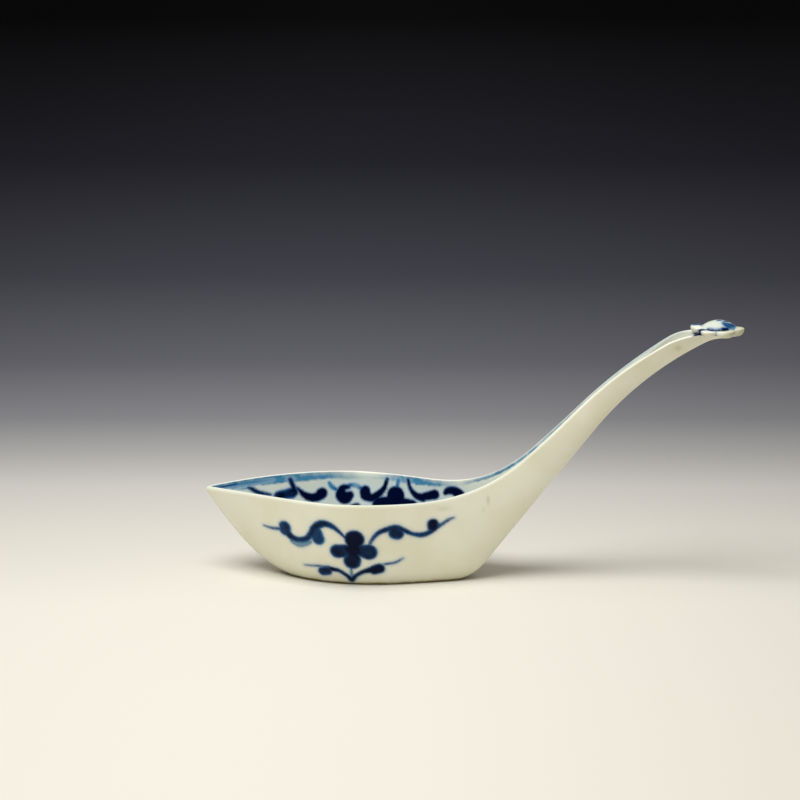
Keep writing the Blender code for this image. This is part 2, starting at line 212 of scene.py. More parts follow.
PAINTING: dict[Surface, tuple[Stroke, ...]] = {
    # Spray on the outside of each wall: a four-petalled flower, two tendrils and two leaves
    Surface.OUTSIDE: (
        Stroke(0.75, ((20.2, 13.4, 2.6),)),
        Stroke(0.55, ((15.6, 9.9, 2.0), (17.7, 10.1, 1.9))),
        Stroke(0.5, ((22.1, 10.1, 1.9), (23.6, 9.8, 2.25))),
        Stroke(0.6, ((19.2, 7.1, 2.3), (19.4, 7.7, 2.2))),
        Stroke(1.0, ((19.7, 10.4, 2.1),)),
        Stroke(0.05, ((18.8, 5.0, 0.35), (18.6, 2.0, 0.35))),
        Stroke(0.55, (
            (18.3, 13.3, 0.3), (16.7, 15.2, 0.5), (15.2, 16.6, 0.7), (13.3, 17.5, 0.95), (11.5, 17.3, 1.15),
            (9.9, 16.0, 1.15), (8.9, 14.4, 1.0), (7.3, 12.7, 0.9), (5.2, 12.2, 0.85), (3.3, 12.6, 1.0),
            (2.0, 13.9, 1.2),
        )),
        Stroke(0.25, ((10.7, 13.1, 1.8), (10.2, 14.8, 1.8))),
        Stroke(0.4, ((1.5, 14.5, 1.75), (1.5, 15.3, 1.75))),
        Stroke(0.5, ((0.6, 14.6, 0.5), (-2.3, 14.3, 0.4), (-4.8, 14.6, 0.2))),
        Stroke(0.0, ((3.4, 11.5, 0.7), (5.2, 10.9, 0.9), (7.2, 11.3, 0.65), (8.6, 12.0, 0.4))),
        Stroke(0.6, (
            (23.6, 11.4, 0.3), (24.7, 13.4, 0.5), (26.4, 15.2, 0.65), (28.7, 16.1, 0.8), (30.6, 16.3, 0.95),
            (32.4, 15.6, 0.75), (34.6, 14.4, 0.6), (36.9, 14.0, 0.75), (38.9, 14.7, 0.7), (40.9, 16.0, 0.5),
            (43.3, 17.6, 0.4), (44.7, 18.1, 0.2),
        )),
        Stroke(0.5, ((30.4, 14.9, 1.75), (30.9, 14.7, 1.7))),
        Stroke(0.75, ((39.5, 15.9, 1.35), (39.6, 16.8, 1.45))),
        Stroke(0.85, ((18.5, 1.5, 0.85), (17.3, 2.9, 0.6), (15.4, 4.2, 0.6), (13.3, 4.5, 0.8))),
        Stroke(0.45, ((11.1, 3.6, 1.4), (12.2, 3.8, 1.4))),
        Stroke(0.45, ((12.9, 5.1, 0.35), (9.2, 5.0, 0.3), (6.1, 4.8, 0.15))),
        Stroke(0.85, ((18.5, 1.5, 0.85), (19.9, 2.9, 0.6), (21.7, 4.0, 0.65), (23.6, 4.6, 0.9))),
        Stroke(0.75, ((24.6, 4.6, 1.4), (25.9, 5.0, 1.5))),
        Stroke(0.4, ((27.1, 6.2, 0.3), (29.9, 6.6, 0.35), (31.9, 7.7, 0.2))),
    ),
    # Scroll on the inside of each wall: leaves and lobes round a larger flower
    Surface.INSIDE: (
        Stroke(0.5, ((-20.8, 22.0, 0.35), (-18.3, 21.95, 0.5), (-14.9, 22.05, 0.5))),
        Stroke(0.15, ((-14.6, 22.05, 0.42), (-11.4, 22.05, 0.38), (-6.7, 22.1, 0.15))),
        Stroke(0.0, ((-16.2, 21.2, 0.05), (-13.6, 20.7, 0.2), (-12.4, 20.8, 0.25))),
        Stroke(0.9, ((-12.2, 20.8, 0.35), (-11.4, 20.5, 0.5), (-9.7, 19.4, 0.55), (-6.8, 18.5, 0.4))),
        Stroke(0.6, ((-4.8, 18.1, 1.2), (-1.6, 18.4, 1.45))),
        Stroke(0.9, ((-0.9, 18.4, 0.9), (-1.4, 19.9, 0.65), (-2.3, 21.8, 0.6))),
        Stroke(1.0, ((-0.4, 19.5, 0.4), (1.5, 17.7, 0.8), (3.4, 16.9, 1.1), (5.0, 17.1, 1.3))),
        Stroke(1.0, ((5.7, 17.7, 1.55),)),
        Stroke(0.2, ((7.4, 20.4, 0.35), (8.1, 19.4, 0.55), (9.1, 18.7, 0.5))),
        Stroke(1.0, (
            (12.6, 19.2, 0.6), (11.0, 18.8, 1.0), (10.7, 17.3, 1.5), (11.9, 16.4, 1.6), (12.9, 17.0, 1.2),
        )),
        Stroke(0.02, ((12.6, 19.6, 0.5), (14.2, 19.5, 0.55), (15.8, 18.8, 0.5))),
        Stroke(1.0, ((14.0, 13.8, 1.1), (14.9, 14.0, 1.2))),
        Stroke(1.0, ((16.9, 18.1, 1.5), (17.1, 17.2, 1.5))),
        Stroke(1.0, (
            (17.3, 16.8, 1.2), (18.9, 16.5, 1.1), (20.4, 17.3, 1.0), (22.0, 19.0, 0.75), (22.8, 21.4, 0.5),
        )),
        Stroke(1.0, ((25.4, 16.6, 2.5), (25.4, 17.4, 2.5))),
        Stroke(1.0, ((20.9, 14.9, 1.9), (22.8, 15.2, 1.9))),
        Stroke(1.0, ((28.2, 15.2, 1.9), (30.0, 15.0, 1.9))),
        Stroke(1.0, ((25.3, 10.9, 2.0), (25.3, 12.2, 1.8))),
        Stroke(1.0, ((25.3, 14.2, 1.9),)),
        Stroke(0.3, ((25.9, 21.4, 0.45), (25.6, 19.4, 0.5))),
        Stroke(0.95, ((28.6, 21.8, 0.5), (29.3, 19.7, 0.6), (31.0, 18.0, 0.9), (33.0, 17.6, 1.15))),
        Stroke(1.0, ((33.6, 18.0, 1.1), (36.4, 18.8, 1.3))),
        Stroke(0.95, (
            (39.3, 19.6, 0.7), (40.1, 20.2, 1.0), (41.7, 20.4, 1.2), (43.3, 19.6, 1.5), (44.1, 18.6, 1.2),
        )),
        Stroke(0.9, (
            (25.0, 9.0, 0.5), (22.6, 8.2, 0.7), (19.6, 8.6, 1.0), (17.0, 10.0, 1.3), (14.8, 13.4, 1.0),
        )),
        Stroke(0.9, (
            (25.0, 9.0, 0.5), (28.0, 8.4, 0.7), (31.2, 9.2, 1.0), (33.8, 11.0, 1.3), (35.4, 13.6, 0.9),
        )),
        Stroke(0.8, ((13.6, 11.0, 0.9), (10.0, 10.4, 1.2), (6.4, 11.4, 1.3), (4.4, 13.4, 0.8))),
        Stroke(0.7, ((1.0, 13.8, 0.9), (-1.4, 14.6, 1.2), (-4.2, 15.6, 0.5))),
        Stroke(1.0, ((105.2, 65.4, 0.45), (106.4, 65.7, 0.6))),
    ),
    # Touches of blue on the flower: the foot of its heart, the notches, the front petal and the heart's back
    Surface.FLOWER: (
        Stroke(0.7, (
            (-3.8, -4.7, 0.6), (-3.1, -4.3, 0.6), (-2.4, -4.1, 0.55), (-1.2, -4.5, 0.4), (-0.1, -4.6, 0.25),
            (1.0, -4.5, 0.25),
        )),
        Stroke(1.0, ((-4.6, -3.0, 0.5), (-4.3, -4.2, 0.7), (-4.1, -5.1, 0.5))),
        Stroke(1.0, ((1.5, -4.3, 0.45), (2.2, -4.1, 0.55), (2.8, -3.7, 0.5))),
        Stroke(0.6, ((-5.8, -0.4, 0.55), (-5.0, -0.5, 0.55), (-4.4, -0.4, 0.45))),
        Stroke(0.7, ((0.2, -0.7, 0.4), (0.7, -0.6, 0.4))),
        Stroke(0.7, ((1.6, -0.9, 0.4), (2.3, -0.3, 0.45))),
        Stroke(0.6, ((2.7, -1.5, 0.4), (3.4, -1.0, 0.45), (4.2, -0.5, 0.5))),
        Stroke(0.15, ((1.7, -2.0, 0.6), (2.5, -2.5, 1.1), (3.2, -2.2, 1.0), (3.9, -1.4, 0.8))),
        Stroke(0.6, ((0.6, 1.4, 0.5), (1.8, 2.3, 0.6), (2.8, 2.8, 0.5))),
        Stroke(0.6, ((2.6, 1.2, 0.4), (3.8, 1.6, 0.6))),
        Stroke(0.8, (
            (-4.3, 4.4, 0.7), (-2.4, 4.1, 0.4), (-0.1, 4.6, 0.3), (1.5, 4.3, 0.35), (2.8, 3.6, 0.4),
        )),
    ),
}


def paint(surface: Surface, places: Array) -> tuple[Array, Array]:
    """Lay the strokes of one surface over each other.

    Args:
        surface: surface to paint.
        places: rows of two lengths in mm on it.

    Returns:
        Depth in mm of the deepest stroke at each place, and the pigment there.
    """
    deepest, pigment = np.zeros(len(places)), np.zeros(len(places))
    weights = np.full(len(places), TINY)
    for stroke in PAINTING[surface]:
        depth = stroke.depth(places)
        weight = np.where(depth > 0.0, np.exp(depth / OVERLAP), 0.0)
        pigment += weight * stroke.pigment
        weights += weight
        deepest = np.maximum(deepest, depth)
    return deepest, pigment / weights


@dataclass(frozen=True)
class Sections:
    """Sections of a wall, one row each: a U with a flat bottom, a keel that leans out, and a rim.

    Attributes:
        keel: middle of each section's bottom.
        lean: how far the rim lies from the keel along x, as a vector.
        up: from the bottom to the rim.
        half_width: half the width at the rim.
        half_flat: half the width of the flat bottom.
        curve: the wall's height grows with this power of its reach.
    """

    keel: Array
    lean: Array
    up: Array
    half_width: Array
    half_flat: Array
    curve: Array

    def __add__(self, other: "Sections") -> "Sections":
        """Join two runs of sections."""
        return Sections(*(np.concatenate(pair) for pair in zip(vars(self).values(), vars(other).values())))

    def rims(self) -> Array:
        """Rim points on the +Y side."""
        return self.keel + self.lean + self.up + vector_rows(0.0, self.half_width, 0.0)

    def halves(self, trim: Array, flat_steps: int, wall_steps: int) -> Array:
        """Points from the middle of each bottom to the rim, on the +Y side.

        Args:
            trim: what a rounded edge takes off the top of each section.
            flat_steps: steps over half the flat.
            wall_steps: steps up the wall.

        Returns:
            Points as rows of sections.
        """
        flat = np.linspace(0.0, 1.0, flat_steps, endpoint=False)
        part = np.linspace(0.0, 1.0, wall_steps + 1)
        height = np.maximum(np.linalg.norm(self.up, axis=1), TINY)
        share = np.clip(height - trim, 0.0, None) / height
        bottom = self.keel[:, None] + vector_rows(0.0, self.half_flat[:, None] * flat, 0.0)
        across = mix(self.half_flat[:, None], self.half_width[:, None], part)
        rise = share[:, None] * part ** self.curve[:, None]
        wall = self.keel[:, None] + self.lean[:, None] * part[None, :, None]
        wall = wall + self.up[:, None] * rise[..., None] + vector_rows(0.0, across, 0.0)
        return np.concatenate([bottom, wall], axis=1)


@dataclass
class Shell:
    """Closed wall through pairs of sections: outside, far edge, inside and near edge of each.

    Attributes:
        outer: sections of the outside.
        inner: sections of the inside.
        roundness: 1 for a half-round edge, less for a flatter one.
        flat_steps: facets over half the flat.
        wall_steps: facets up a wall.
        edge_steps: points round the edge.
    """

    outer: Sections
    inner: Sections
    roundness: Array
    flat_steps: int = 6
    wall_steps: int = 76
    edge_steps: int = 12

    def counts(self) -> tuple[int, int]:
        """Points up half a section, and points over the outer half of an edge."""
        return self.flat_steps + self.wall_steps + 1, self.edge_steps // 2

    def loops(self, outside: Sequence[Array], edge: Array, inside: Sequence[Array], near: Array) -> Array:
        """Put the +Y half and the -Y half of each section in order round it.

        Args:
            outside: values up the outside, first the -Y and then the +Y side.
            edge: values over the +Y edge.
            inside: values up the inside, first the +Y and then the -Y side.
            near: values over the -Y edge.

        Returns:
            Values round each section.
        """
        below = outside[0][:, ::-1], outside[1][:, 1:]
        within = inside[0][:, ::-1], inside[1][:, 1:]
        return np.concatenate([*below, edge, *within, near[:, ::-1]], axis=1)

    def points(self) -> Array:
        """Work out the points round each section.

        Returns:
            Points, one row for each section.
        """
        flip = np.array([1.0, -1.0, 1.0])
        trim = self.roundness * np.linalg.norm(self.outer.rims() - self.inner.rims(), axis=1) / 2
        outside = self.outer.halves(trim, self.flat_steps, self.wall_steps)
        inside = self.inner.halves(trim, self.flat_steps, self.wall_steps)
        up = self.outer.up / np.linalg.norm(self.outer.up, axis=1, keepdims=True)
        angle = np.pi * np.arange(1, self.edge_steps + 1) / (self.edge_steps + 1)
        start, end = outside[:, -1:], inside[:, -1:]
        radius = np.linalg.norm(end - start, axis=2, keepdims=True) / 2
        lift = up[:, None] * self.roundness[:, None, None] * radius * np.sin(angle)[None, :, None]
        edge = mix(start, end, ((1.0 - np.cos(angle)) / 2)[None, :, None]) + lift
        return self.loops((outside * flip, outside), edge, (inside, inside * flip), edge * flip)

    def spread(self, outside: Any, edge: Any, inside: Any) -> Array:
        """Give one value to the outside, one to the edges and one to the inside.

        Args:
            outside: value on the outside.
            edge: value over the edges, or a row of values across them.
            inside: value on the inside.

        Returns:
            One value for each point.
        """
        rows, (half, _) = len(self.outer.keel), self.counts()
        counts = ((half, outside), (self.edge_steps, edge), (half, inside))
        out, over, within = (np.full((rows, count), value) for count, value in counts)
        return self.loops((out, out), over, (within, within), over)

    def crest(self) -> Array:
        """Rise over the outer half of the edge from 0 to 1, which its inner half keeps."""
        rise = (np.arange(self.edge_steps) + 0.5) / self.counts()[1]
        return self.spread(0.0, np.minimum(rise, 1.0), 0.0)

    def below_crest(self, points: Array) -> Array:
        """Length down the inside from the crest of the edge, 0 on the outside.

        Args:
            points: the shell's points.

        Returns:
            One length in mm for each point.
        """
        half, outer = self.counts()
        first, over = 2 * half - 1, self.edge_steps - outer
        path = points[:, first + outer:first + self.edge_steps + half]
        steps = np.linalg.norm(np.diff(path, axis=1), axis=2)
        down = np.concatenate([np.zeros((len(points), 1)), np.cumsum(steps, axis=1)], axis=1)
        edge = np.concatenate([np.zeros((len(points), outer)), down[:, :over]], axis=1)
        inside, outside = down[:, over:][:, ::-1], np.zeros((len(points), half))
        return self.loops((outside, outside), edge, (inside, inside), edge)


def follow(
    start: Sequence[float], heading: float, moves: Sequence[Pair], distances: Array
) -> tuple[Array, Array]:
    """Go along straight runs and arcs in the XZ plane.

    Args:
        start: x and z to start from.
        heading: angle to start in.
        moves: length and turn of each run.
        distances: how far to go.

    Returns:
        Points and headings, one for each distance.
    """
    x, z = np.full_like(distances, start[0]), np.full_like(distances, start[1])
    angle, left = np.full_like(distances, heading), distances.copy()
    for length, turn in moves:
        step = np.clip(left, 0.0, length)
        if turn:
            radius, swept = length / turn, turn * step / length
            x += radius * (np.sin(angle + swept) - np.sin(angle))
            z += radius * (np.cos(angle) - np.cos(angle + swept))
            angle += swept
        else:
            x += step * np.cos(angle)
            z += step * np.sin(angle)
        left = left - step
    return vector_rows(x, 0.0, z), angle


@dataclass(frozen=True)
class MeshPaint:
    """Values painted on the points of a mesh, each kept as an attribute.

    Attributes:
        brush_depth: depth in mm below a line a bleed's width outside the strokes.
        pigment: load of cobalt in the strokes.
        wash: strength of the blue band along a rim.
        band: length down the inside from the edge's crest, as a share of the band's depth.
        inside: share of pooled glaze, and on the near edge of painted shade in its colour.
        edge: share of the thin pale glaze on a rounded edge, which is also a painted highlight.
        age: strength of stains, and of painted shade along the foot that darkens towards the floor.
    """

    brush_depth: Array
    pigment: Array
    wash: Array
    band: Array
    inside: Array
    edge: Array
    age: Array

    def keep(self, mesh: Mesh) -> None:
        """Write the values to a mesh.

        Args:
            mesh: mesh with as many points.
        """
        for name, values in vars(self).items():
            layer = mesh.attributes.new(name, "FLOAT", "POINT")
            layer.data.foreach_set("value", np.ravel(values).astype(np.float32))


def grid_object(name: str, points: Array, values: MeshPaint, caps: Sequence[int]) -> Object:
    """Make a closed object from loops of points.

    Args:
        name: name of the object.
        points: loops, in metres, one row each.
        values: what is painted on the points.
        caps: rows that get a flat face over them.

    Returns:
        The object, in the scene.
    """
    rows, columns = points.shape[:2]
    numbers = np.arange(rows * columns).reshape(rows, columns)
    after = np.roll(numbers, -1, axis=1)
    quads = np.stack([numbers[:-1], after[:-1], after[1:], numbers[1:]], axis=-1).reshape(-1, 4)
    mesh = bpy.data.meshes.new(name)
    faces = quads.tolist() + [numbers[row].tolist() for row in caps]
    mesh.from_pydata(points.reshape(-1, 3).tolist(), [], faces)
    values.keep(mesh)
    work = bmesh.new()
    work.from_mesh(mesh)
    bmesh.ops.remove_doubles(work, verts=work.verts, dist=WELD)
    bmesh.ops.recalc_face_normals(work, faces=work.faces)
    work.to_mesh(mesh)
    work.free()
    mesh.shade_smooth()
    return add_object(name, mesh)


def match_normals(piece: Object, seam: Array, normals: Array) -> None:
    """Give the points of a seam the normals of the whole surface, so that the seam doesn't show.

    Args:
        piece: object on one side of the seam.
        seam: points of the seam, in metres.
        normals: outward normals there.
    """
    tree = KDTree(len(seam))
    for number, point in enumerate(seam):
        tree.insert(Vector(point), number)
    tree.balance()
    mesh = piece.data
    custom = np.zeros((len(mesh.vertices), 3))
    for vertex in mesh.vertices:
        _, number, distance = tree.find(vertex.co)
        if distance < SEAM:
            custom[vertex.index] = normals[number]
    mesh.normals_split_custom_set_from_vertices(custom.tolist())


@dataclass(frozen=True)
class GlazedPorcelain:
    """Cream porcelain, formed in a mould, painted in cobalt and fired under a clear glaze.

    The glaze gives small sharp highlights over a soft warm body that is bluer where it pools on the
    inside. The cobalt bleeds into it: a stroke has a near-black core where the brush was full, a
    blue edge about half a millimetre wide and a pale halo. Age shows as brown specks and stains,
    and the stain colour also darkens the foot as painted shade near the floor.
    """

    body: str = "#ebead9"
    body_warm: str = "#e3e0c8"
    pooled: str = "#aeb9b3"
    # pale rounded edges where the glaze runs thin, lightened further as a painted highlight along the rims
    edge_glaze_highlight: str = "#f5f6f0"
    cobalt_full: str = "#010826"
    cobalt_thin: str = "#1f4f82"
    cobalt_wash: str = "#3a7596"
    halo: str = "#a9bccb"
    # brown of stains, also used for painted shade at the foot
    stain: str = "#948a4e"
    speck: str = "#6b5a3c"
    roughness: float = 0.13
    ior: float = 1.5
    specular: float = 0.07
    mottle_mm: float = 16.0  # clouds in the body
    peel_mm: float = 3.0  # waves of the glaze, and clouds in the stains
    edge_mm: float = 0.7  # raggedness of a stroke's edge
    load_mm: float = 2.2  # changes of the brush's load
    band_mm: float = 1.3  # raggedness of the band's lower end
    cloud_detail: float = 3.0
    cloud_roughness: float = 0.55
    mottle_range: Pair = (0.25, 0.75)  # clouds from cream to warm
    peel_strength: float = 0.2
    peel_depth_mm: float = 0.05
    pooled_cover: float = 0.95
    edge_highlight_cover: float = 0.9
    halo_cover: float = 0.4
    speck_spacing_mm: float = 9.0
    speck_mm: float = 0.22  # real ones are about 0.1 mm, drawn coarser to show
    speck_core: float = 0.4  # share of a speck's radius that has its full colour
    speck_cover: float = 0.6
    band_start: Pair = (0.05, 0.3)  # shares of the band's depth over which it begins
    band_deep: Pair = (0.3, 1.0)  # shares over which it deepens
    band_gain: Pair = (0.3, 0.7)  # what the deepening adds, and to what
    band_end: Pair = (1.75, 1.2)  # share where it has ended and where it starts to end
    band_ragged: float = 0.6
    band_streaks: Pair = (1.2, 0.35)  # what the brush's load adds, and to what
    stroke_ragged_mm: float = 0.3
    stroke_edge_mm: Pair = (-0.42, 0.34)  # from outside a stroke's edge to full cover
    stroke_pool_mm: Pair = (-0.1, 0.9)  # from the edge to where the cobalt pools
    pool_gain: float = 0.8
    load_gain: Pair = (0.7, -0.75)  # what the brush's load adds, and to what
    light_load: float = 0.2  # a stroke with less pigment than this is a wash
    light_cover: float = 0.8
    thin_range: Pair = (-0.05, 0.3)  # amounts of cobalt from wash to thin
    full_range: Pair = (0.12, 1.15)  # and from thin to full

    def band_share(self, add: AddNode, painted: Sockets, clouds: Sockets) -> NodeSocket:
        """Cover of the blue band below a rim: streaked, deeper lower down, with a ragged end.

        Args:
            add: adds a node to the material.
            painted: values painted on the mesh.
            clouds: noises of the glaze.

        Returns:
            Share of washed cobalt.
        """
        ragged = add(MATH, (clouds["band"], self.band_ragged, painted["band"]), operation="MULTIPLY_ADD")
        start = add(RANGE, (painted["band"], *self.band_start), **SMOOTH)
        end = add(RANGE, (ragged, *self.band_end), **SMOOTH)
        deep = add(RANGE, (painted["band"], *self.band_deep), **SMOOTH)
        deep = add(MATH, (deep, *self.band_gain), operation="MULTIPLY_ADD")
        streaks = add(MATH, (clouds["load"], *self.band_streaks), operation="MULTIPLY_ADD")
        share = painted["wash"]
        for factor in (start, end, deep, streaks):
            share = add(MATH, (share, factor), operation="MULTIPLY")
        return share

    def brushwork(self, add: AddNode, painted: Sockets, clouds: Sockets) -> tuple[NodeSocket, NodeSocket]:
        """Cobalt in the strokes: nearly black where it pooled, blue at the edges, paler in a wash.

        Args:
            add: adds a node to the material.
            painted: values painted on the mesh.
            clouds: noises of the glaze.

        Returns:
            Colour of the strokes, and their cover.
        """
        wobble = (clouds["edge"], self.stroke_ragged_mm, -self.stroke_ragged_mm / 2)
        wobble = add(MATH, wobble, operation="MULTIPLY_ADD")
        depth = add(MATH, (painted["brush_depth"], wobble), operation="ADD")
        stroke = add(RANGE, (depth, *(BLEED + mm for mm in self.stroke_edge_mm)), **SMOOTH)
        pooling = add(RANGE, (depth, *(BLEED + mm for mm in self.stroke_pool_mm)), **SMOOTH)
        uneven = add(MATH, (clouds["load"], *self.load_gain), operation="MULTIPLY_ADD")
        pooling = add(MATH, (pooling, self.pool_gain, uneven), operation="MULTIPLY_ADD")
        loaded = add(RANGE, (painted["pigment"], 0.0, self.light_load), **SMOOTH)
        amount = add(MATH, (pooling, loaded, painted["pigment"]), operation="MULTIPLY_ADD")
        cobalt = linear(self.cobalt_wash)
        for over, amounts in ((self.cobalt_thin, self.thin_range), (self.cobalt_full, self.full_range)):
            share = add(RANGE, (amount, *amounts), **SMOOTH)
            cobalt = add(MIX, {MIX_FACTOR: share, MIX_A: cobalt, MIX_B: linear(over)}, MIX_RESULT, **COLOUR)
        cover = add(MATH, (loaded, 1.0 - self.light_cover, self.light_cover), operation="MULTIPLY_ADD")
        return cobalt, add(MATH, (stroke, cover), operation="MULTIPLY")

    def material(self, name: str) -> Material:
        """Build the material.

        Args:
            name: name of the material.

        Returns:
            The material.
        """
        material = bpy.data.materials.new(name)
        material.use_nodes = True
        tree = material.node_tree
        add = partial(add_node, tree)
        place = add("ShaderNodeTexCoord", result="Object")
        painted = {
            key: add("ShaderNodeAttribute", result="Fac", attribute_name=key)
            for key in MeshPaint.__dataclass_fields__
        }
        # Noise at the real width of each kind of unevenness
        widths = {"mottle": self.mottle_mm, "peel": self.peel_mm, "edge": self.edge_mm}
        widths |= {"load": self.load_mm, "band": self.band_mm}
        grain = {"Vector": place, "Detail": self.cloud_detail, "Roughness": self.cloud_roughness}
        clouds = {key: add(NOISE, {**grain, "Scale": 1.0 / (mm * MM)}) for key, mm in widths.items()}

        mottle = add(RANGE, (clouds["mottle"], *self.mottle_range), **SMOOTH)
        pooled = add(MATH, (painted["inside"], self.pooled_cover), operation="MULTIPLY")
        # pale edge glaze, lightened also as a painted highlight
        edge = add(MATH, (painted["edge"], self.edge_highlight_cover), operation="MULTIPLY")
        # stains, and painted shade along the foot, in the stain colour
        stain_shade_share = add(MATH, (painted["age"], clouds["peel"]), operation="MULTIPLY")
        cells = add("ShaderNodeTexVoronoi", {"Vector": place, "Scale": 1.0 / (self.speck_spacing_mm * MM)})
        radius = self.speck_mm / self.speck_spacing_mm
        specks = add(RANGE, (cells, radius, radius * self.speck_core, 0.0, self.speck_cover), **SMOOTH)
        halo = add(RANGE, (painted["brush_depth"], 0.0, BLEED, 0.0, self.halo_cover), **SMOOTH)
        layers = (
            (linear(self.body_warm), mottle),
            (linear(self.pooled), pooled),
            (linear(self.edge_glaze_highlight), edge),
            (linear(self.stain), stain_shade_share),
            (linear(self.speck), specks),
            (linear(self.cobalt_wash), self.band_share(add, painted, clouds)),
            (linear(self.halo), halo),
            self.brushwork(add, painted, clouds),
        )
        colour = linear(self.body)
        for over, share in layers:
            colour = add(MIX, {MIX_FACTOR: share, MIX_A: colour, MIX_B: over}, MIX_RESULT, **COLOUR)

        peel = {"Strength": self.peel_strength, "Distance": self.peel_depth_mm * MM, "Height": clouds["peel"]}
        shader = tree.nodes["Principled BSDF"].inputs
        tree.links.new(colour, shader["Base Color"])
        tree.links.new(add("ShaderNodeBump", peel), shader["Normal"])
        shader["Roughness"].default_value = self.roughness
        shader["IOR"].default_value = self.ior
        shader["Specular IOR Level"].default_value = self.specular
        return material


@dataclass
class Handle:
    """Handle with a channel along its top, on one line with the back of the bowl.

    Lengths along the handle are measured from the lute, where it leaves the bowl.
    """

    base_length: float = 42.75
    heel_radius: float = 11.0
    back_slope: float = math.radians(51.6)
    root_run: float = 31.42
    stem_run: float = 14.6
    bend_radius: float = 86.0
    top_slope: float = math.radians(27.5)
    toe_radius: float = 10.0
    toe_run: float = 0.5
    root_width: float = 13.6
    waist_width: float = 8.8
    waist_at: float = 22.0
    seat_width: float = 15.6
    seat_length: float = 12.0
    end_width: float = 4.0
    root_depth: float = 9.0
    top_depth: float = 4.88
    depth_taper: float = 2.05
    seat_thickness: float = 1.55
    seat_easing: float = 3.0
    wall: float = 1.1
    curve: float = 2.3
    root_channel: float = 3.2
    waist_channel: float = 1.6
    seat_channel: float = 0.15
    floor_rise: float = 0.06  # slope of the bowl's floor off its underside at the lute
    seat_roundness: float = 0.5
    rows: int = 110

    def back_moves(self) -> tuple[Pair, ...]:
        """Runs of the underside from the end of the flat base to the lute."""
        return (self.heel_radius * self.back_slope, self.back_slope), (self.root_run, 0.0)

    def stem_moves(self) -> tuple[Pair, ...]:
        """Runs of the underside from the lute to the toe."""
        bend = self.back_slope - self.top_slope
        return (
            (self.stem_run, 0.0),
            (self.bend_radius * bend, -bend),
            (self.toe_radius * self.top_slope, -self.top_slope),
            (self.toe_run, 0.0),
        )

    def length(self) -> float:
        """Length of the underside from the lute to the toe."""
        return sum(length for length, _ in self.stem_moves())

    def back_length(self) -> float:
        """Length of the underside from the end of the flat base to the lute."""
        return sum(length for length, _ in self.back_moves())

    def root(self) -> Array:
        """Point of the underside at the lute."""
        distance = np.array([self.back_length()])
        return follow((self.base_length, 0.0), 0.0, self.back_moves(), distance)[0][0]

    def root_rim(self) -> Array:
        """Point between the two edges at the lute."""
        across = vector_rows(-math.sin(self.back_slope), 0.0, math.cos(self.back_slope))
        return self.root() + self.root_depth * across

    def underside(self, distances: Array) -> tuple[Array, Array]:
        """Points and headings of the underside at distances from the lute."""
        root = self.root()
        return follow((root[0], root[2]), self.back_slope, self.stem_moves(), distances)

    def toe(self) -> Array:
        """End of the underside, below the flower."""
        return self.underside(np.array([self.length()]))[0][0]

    def seat_height(self) -> float:
        """Height of the level seat of the flower."""
        return float(self.toe()[2]) + self.seat_thickness

    def seat_at(self) -> float:
        """Distance from the lute to the start of the flower's seat."""
        return self.length() - self.seat_length

    def past_waist(self, distances: Array) -> Array:
        """Share of the way from the waist to the seat."""
        return (distances - self.waist_at) / (self.seat_at() - self.waist_at)

    def half_widths(self, distances: Array) -> Array:
        """Half the width of the handle.

        Args:
            distances: lengths from the lute.

        Returns:
            Half the width at each.
        """
        lower = ease(self.root_width, self.waist_width, distances / self.waist_at)
        upper = ease(self.waist_width, self.seat_width, self.past_waist(distances))
        end = ease(self.seat_width, self.end_width, (distances - self.seat_at()) / self.seat_length)
        above = np.where(distances < self.seat_at(), upper, end)
        return np.where(distances < self.waist_at, lower, above) / 2

    def channels(self, distances: Array) -> Array:
        """Depth of the channel, whose floor leaves the bowl's without a crease.

        Args:
            distances: lengths from the lute.

        Returns:
            Depth at each.
        """
        part = np.clip(distances / self.waist_at, 0.0, 1.0)
        falling = (self.top_depth - self.root_depth) * self.depth_taper / self.length() - self.floor_rise
        lower = ease(self.root_channel, self.waist_channel, part)
        lower = lower + falling * self.waist_at * part * (1.0 - part) ** 2
        upper = ease(self.waist_channel, self.seat_channel, self.past_waist(distances))
        return np.where(distances < self.waist_at, lower, upper)

    def shell(self) -> Shell:
        """Build the wall of the handle, from the lute to the toe.

        Returns:
            The wall.
        """
        distances = np.linspace(0.0, self.length(), self.rows)
        keel, heading = self.underside(distances)
        normal = vector_rows(-np.sin(heading), 0.0, np.cos(heading))
        taper = np.clip(1.0 - distances / self.length(), 0.0, 1.0) ** self.depth_taper
        depth = mix(self.top_depth, self.root_depth, taper)
        level = (self.seat_height() - keel[:, 2]) / normal[:, 2]
        crossing = np.clip(self.seat_easing - np.abs(depth - level), 0.0, None) / self.seat_easing
        depth = np.minimum(depth, level) - self.seat_easing * crossing**2 / 4
        channel = self.channels(distances)
        widths, flat = self.half_widths(distances), np.zeros_like(distances)
        curve, lean = np.full_like(distances, self.curve), np.zeros_like(keel)
        outer = Sections(keel, lean, normal * depth[:, None], widths, flat, curve)
        floor = keel + normal * (depth - channel)[:, None]
        inner = Sections(floor, lean, normal * channel[:, None], widths - self.wall, flat, curve)
        rising = np.clip(self.past_waist(distances), 0.0, 1.0)
        return Shell(outer, inner, mix(1.0, self.seat_roundness, rising))


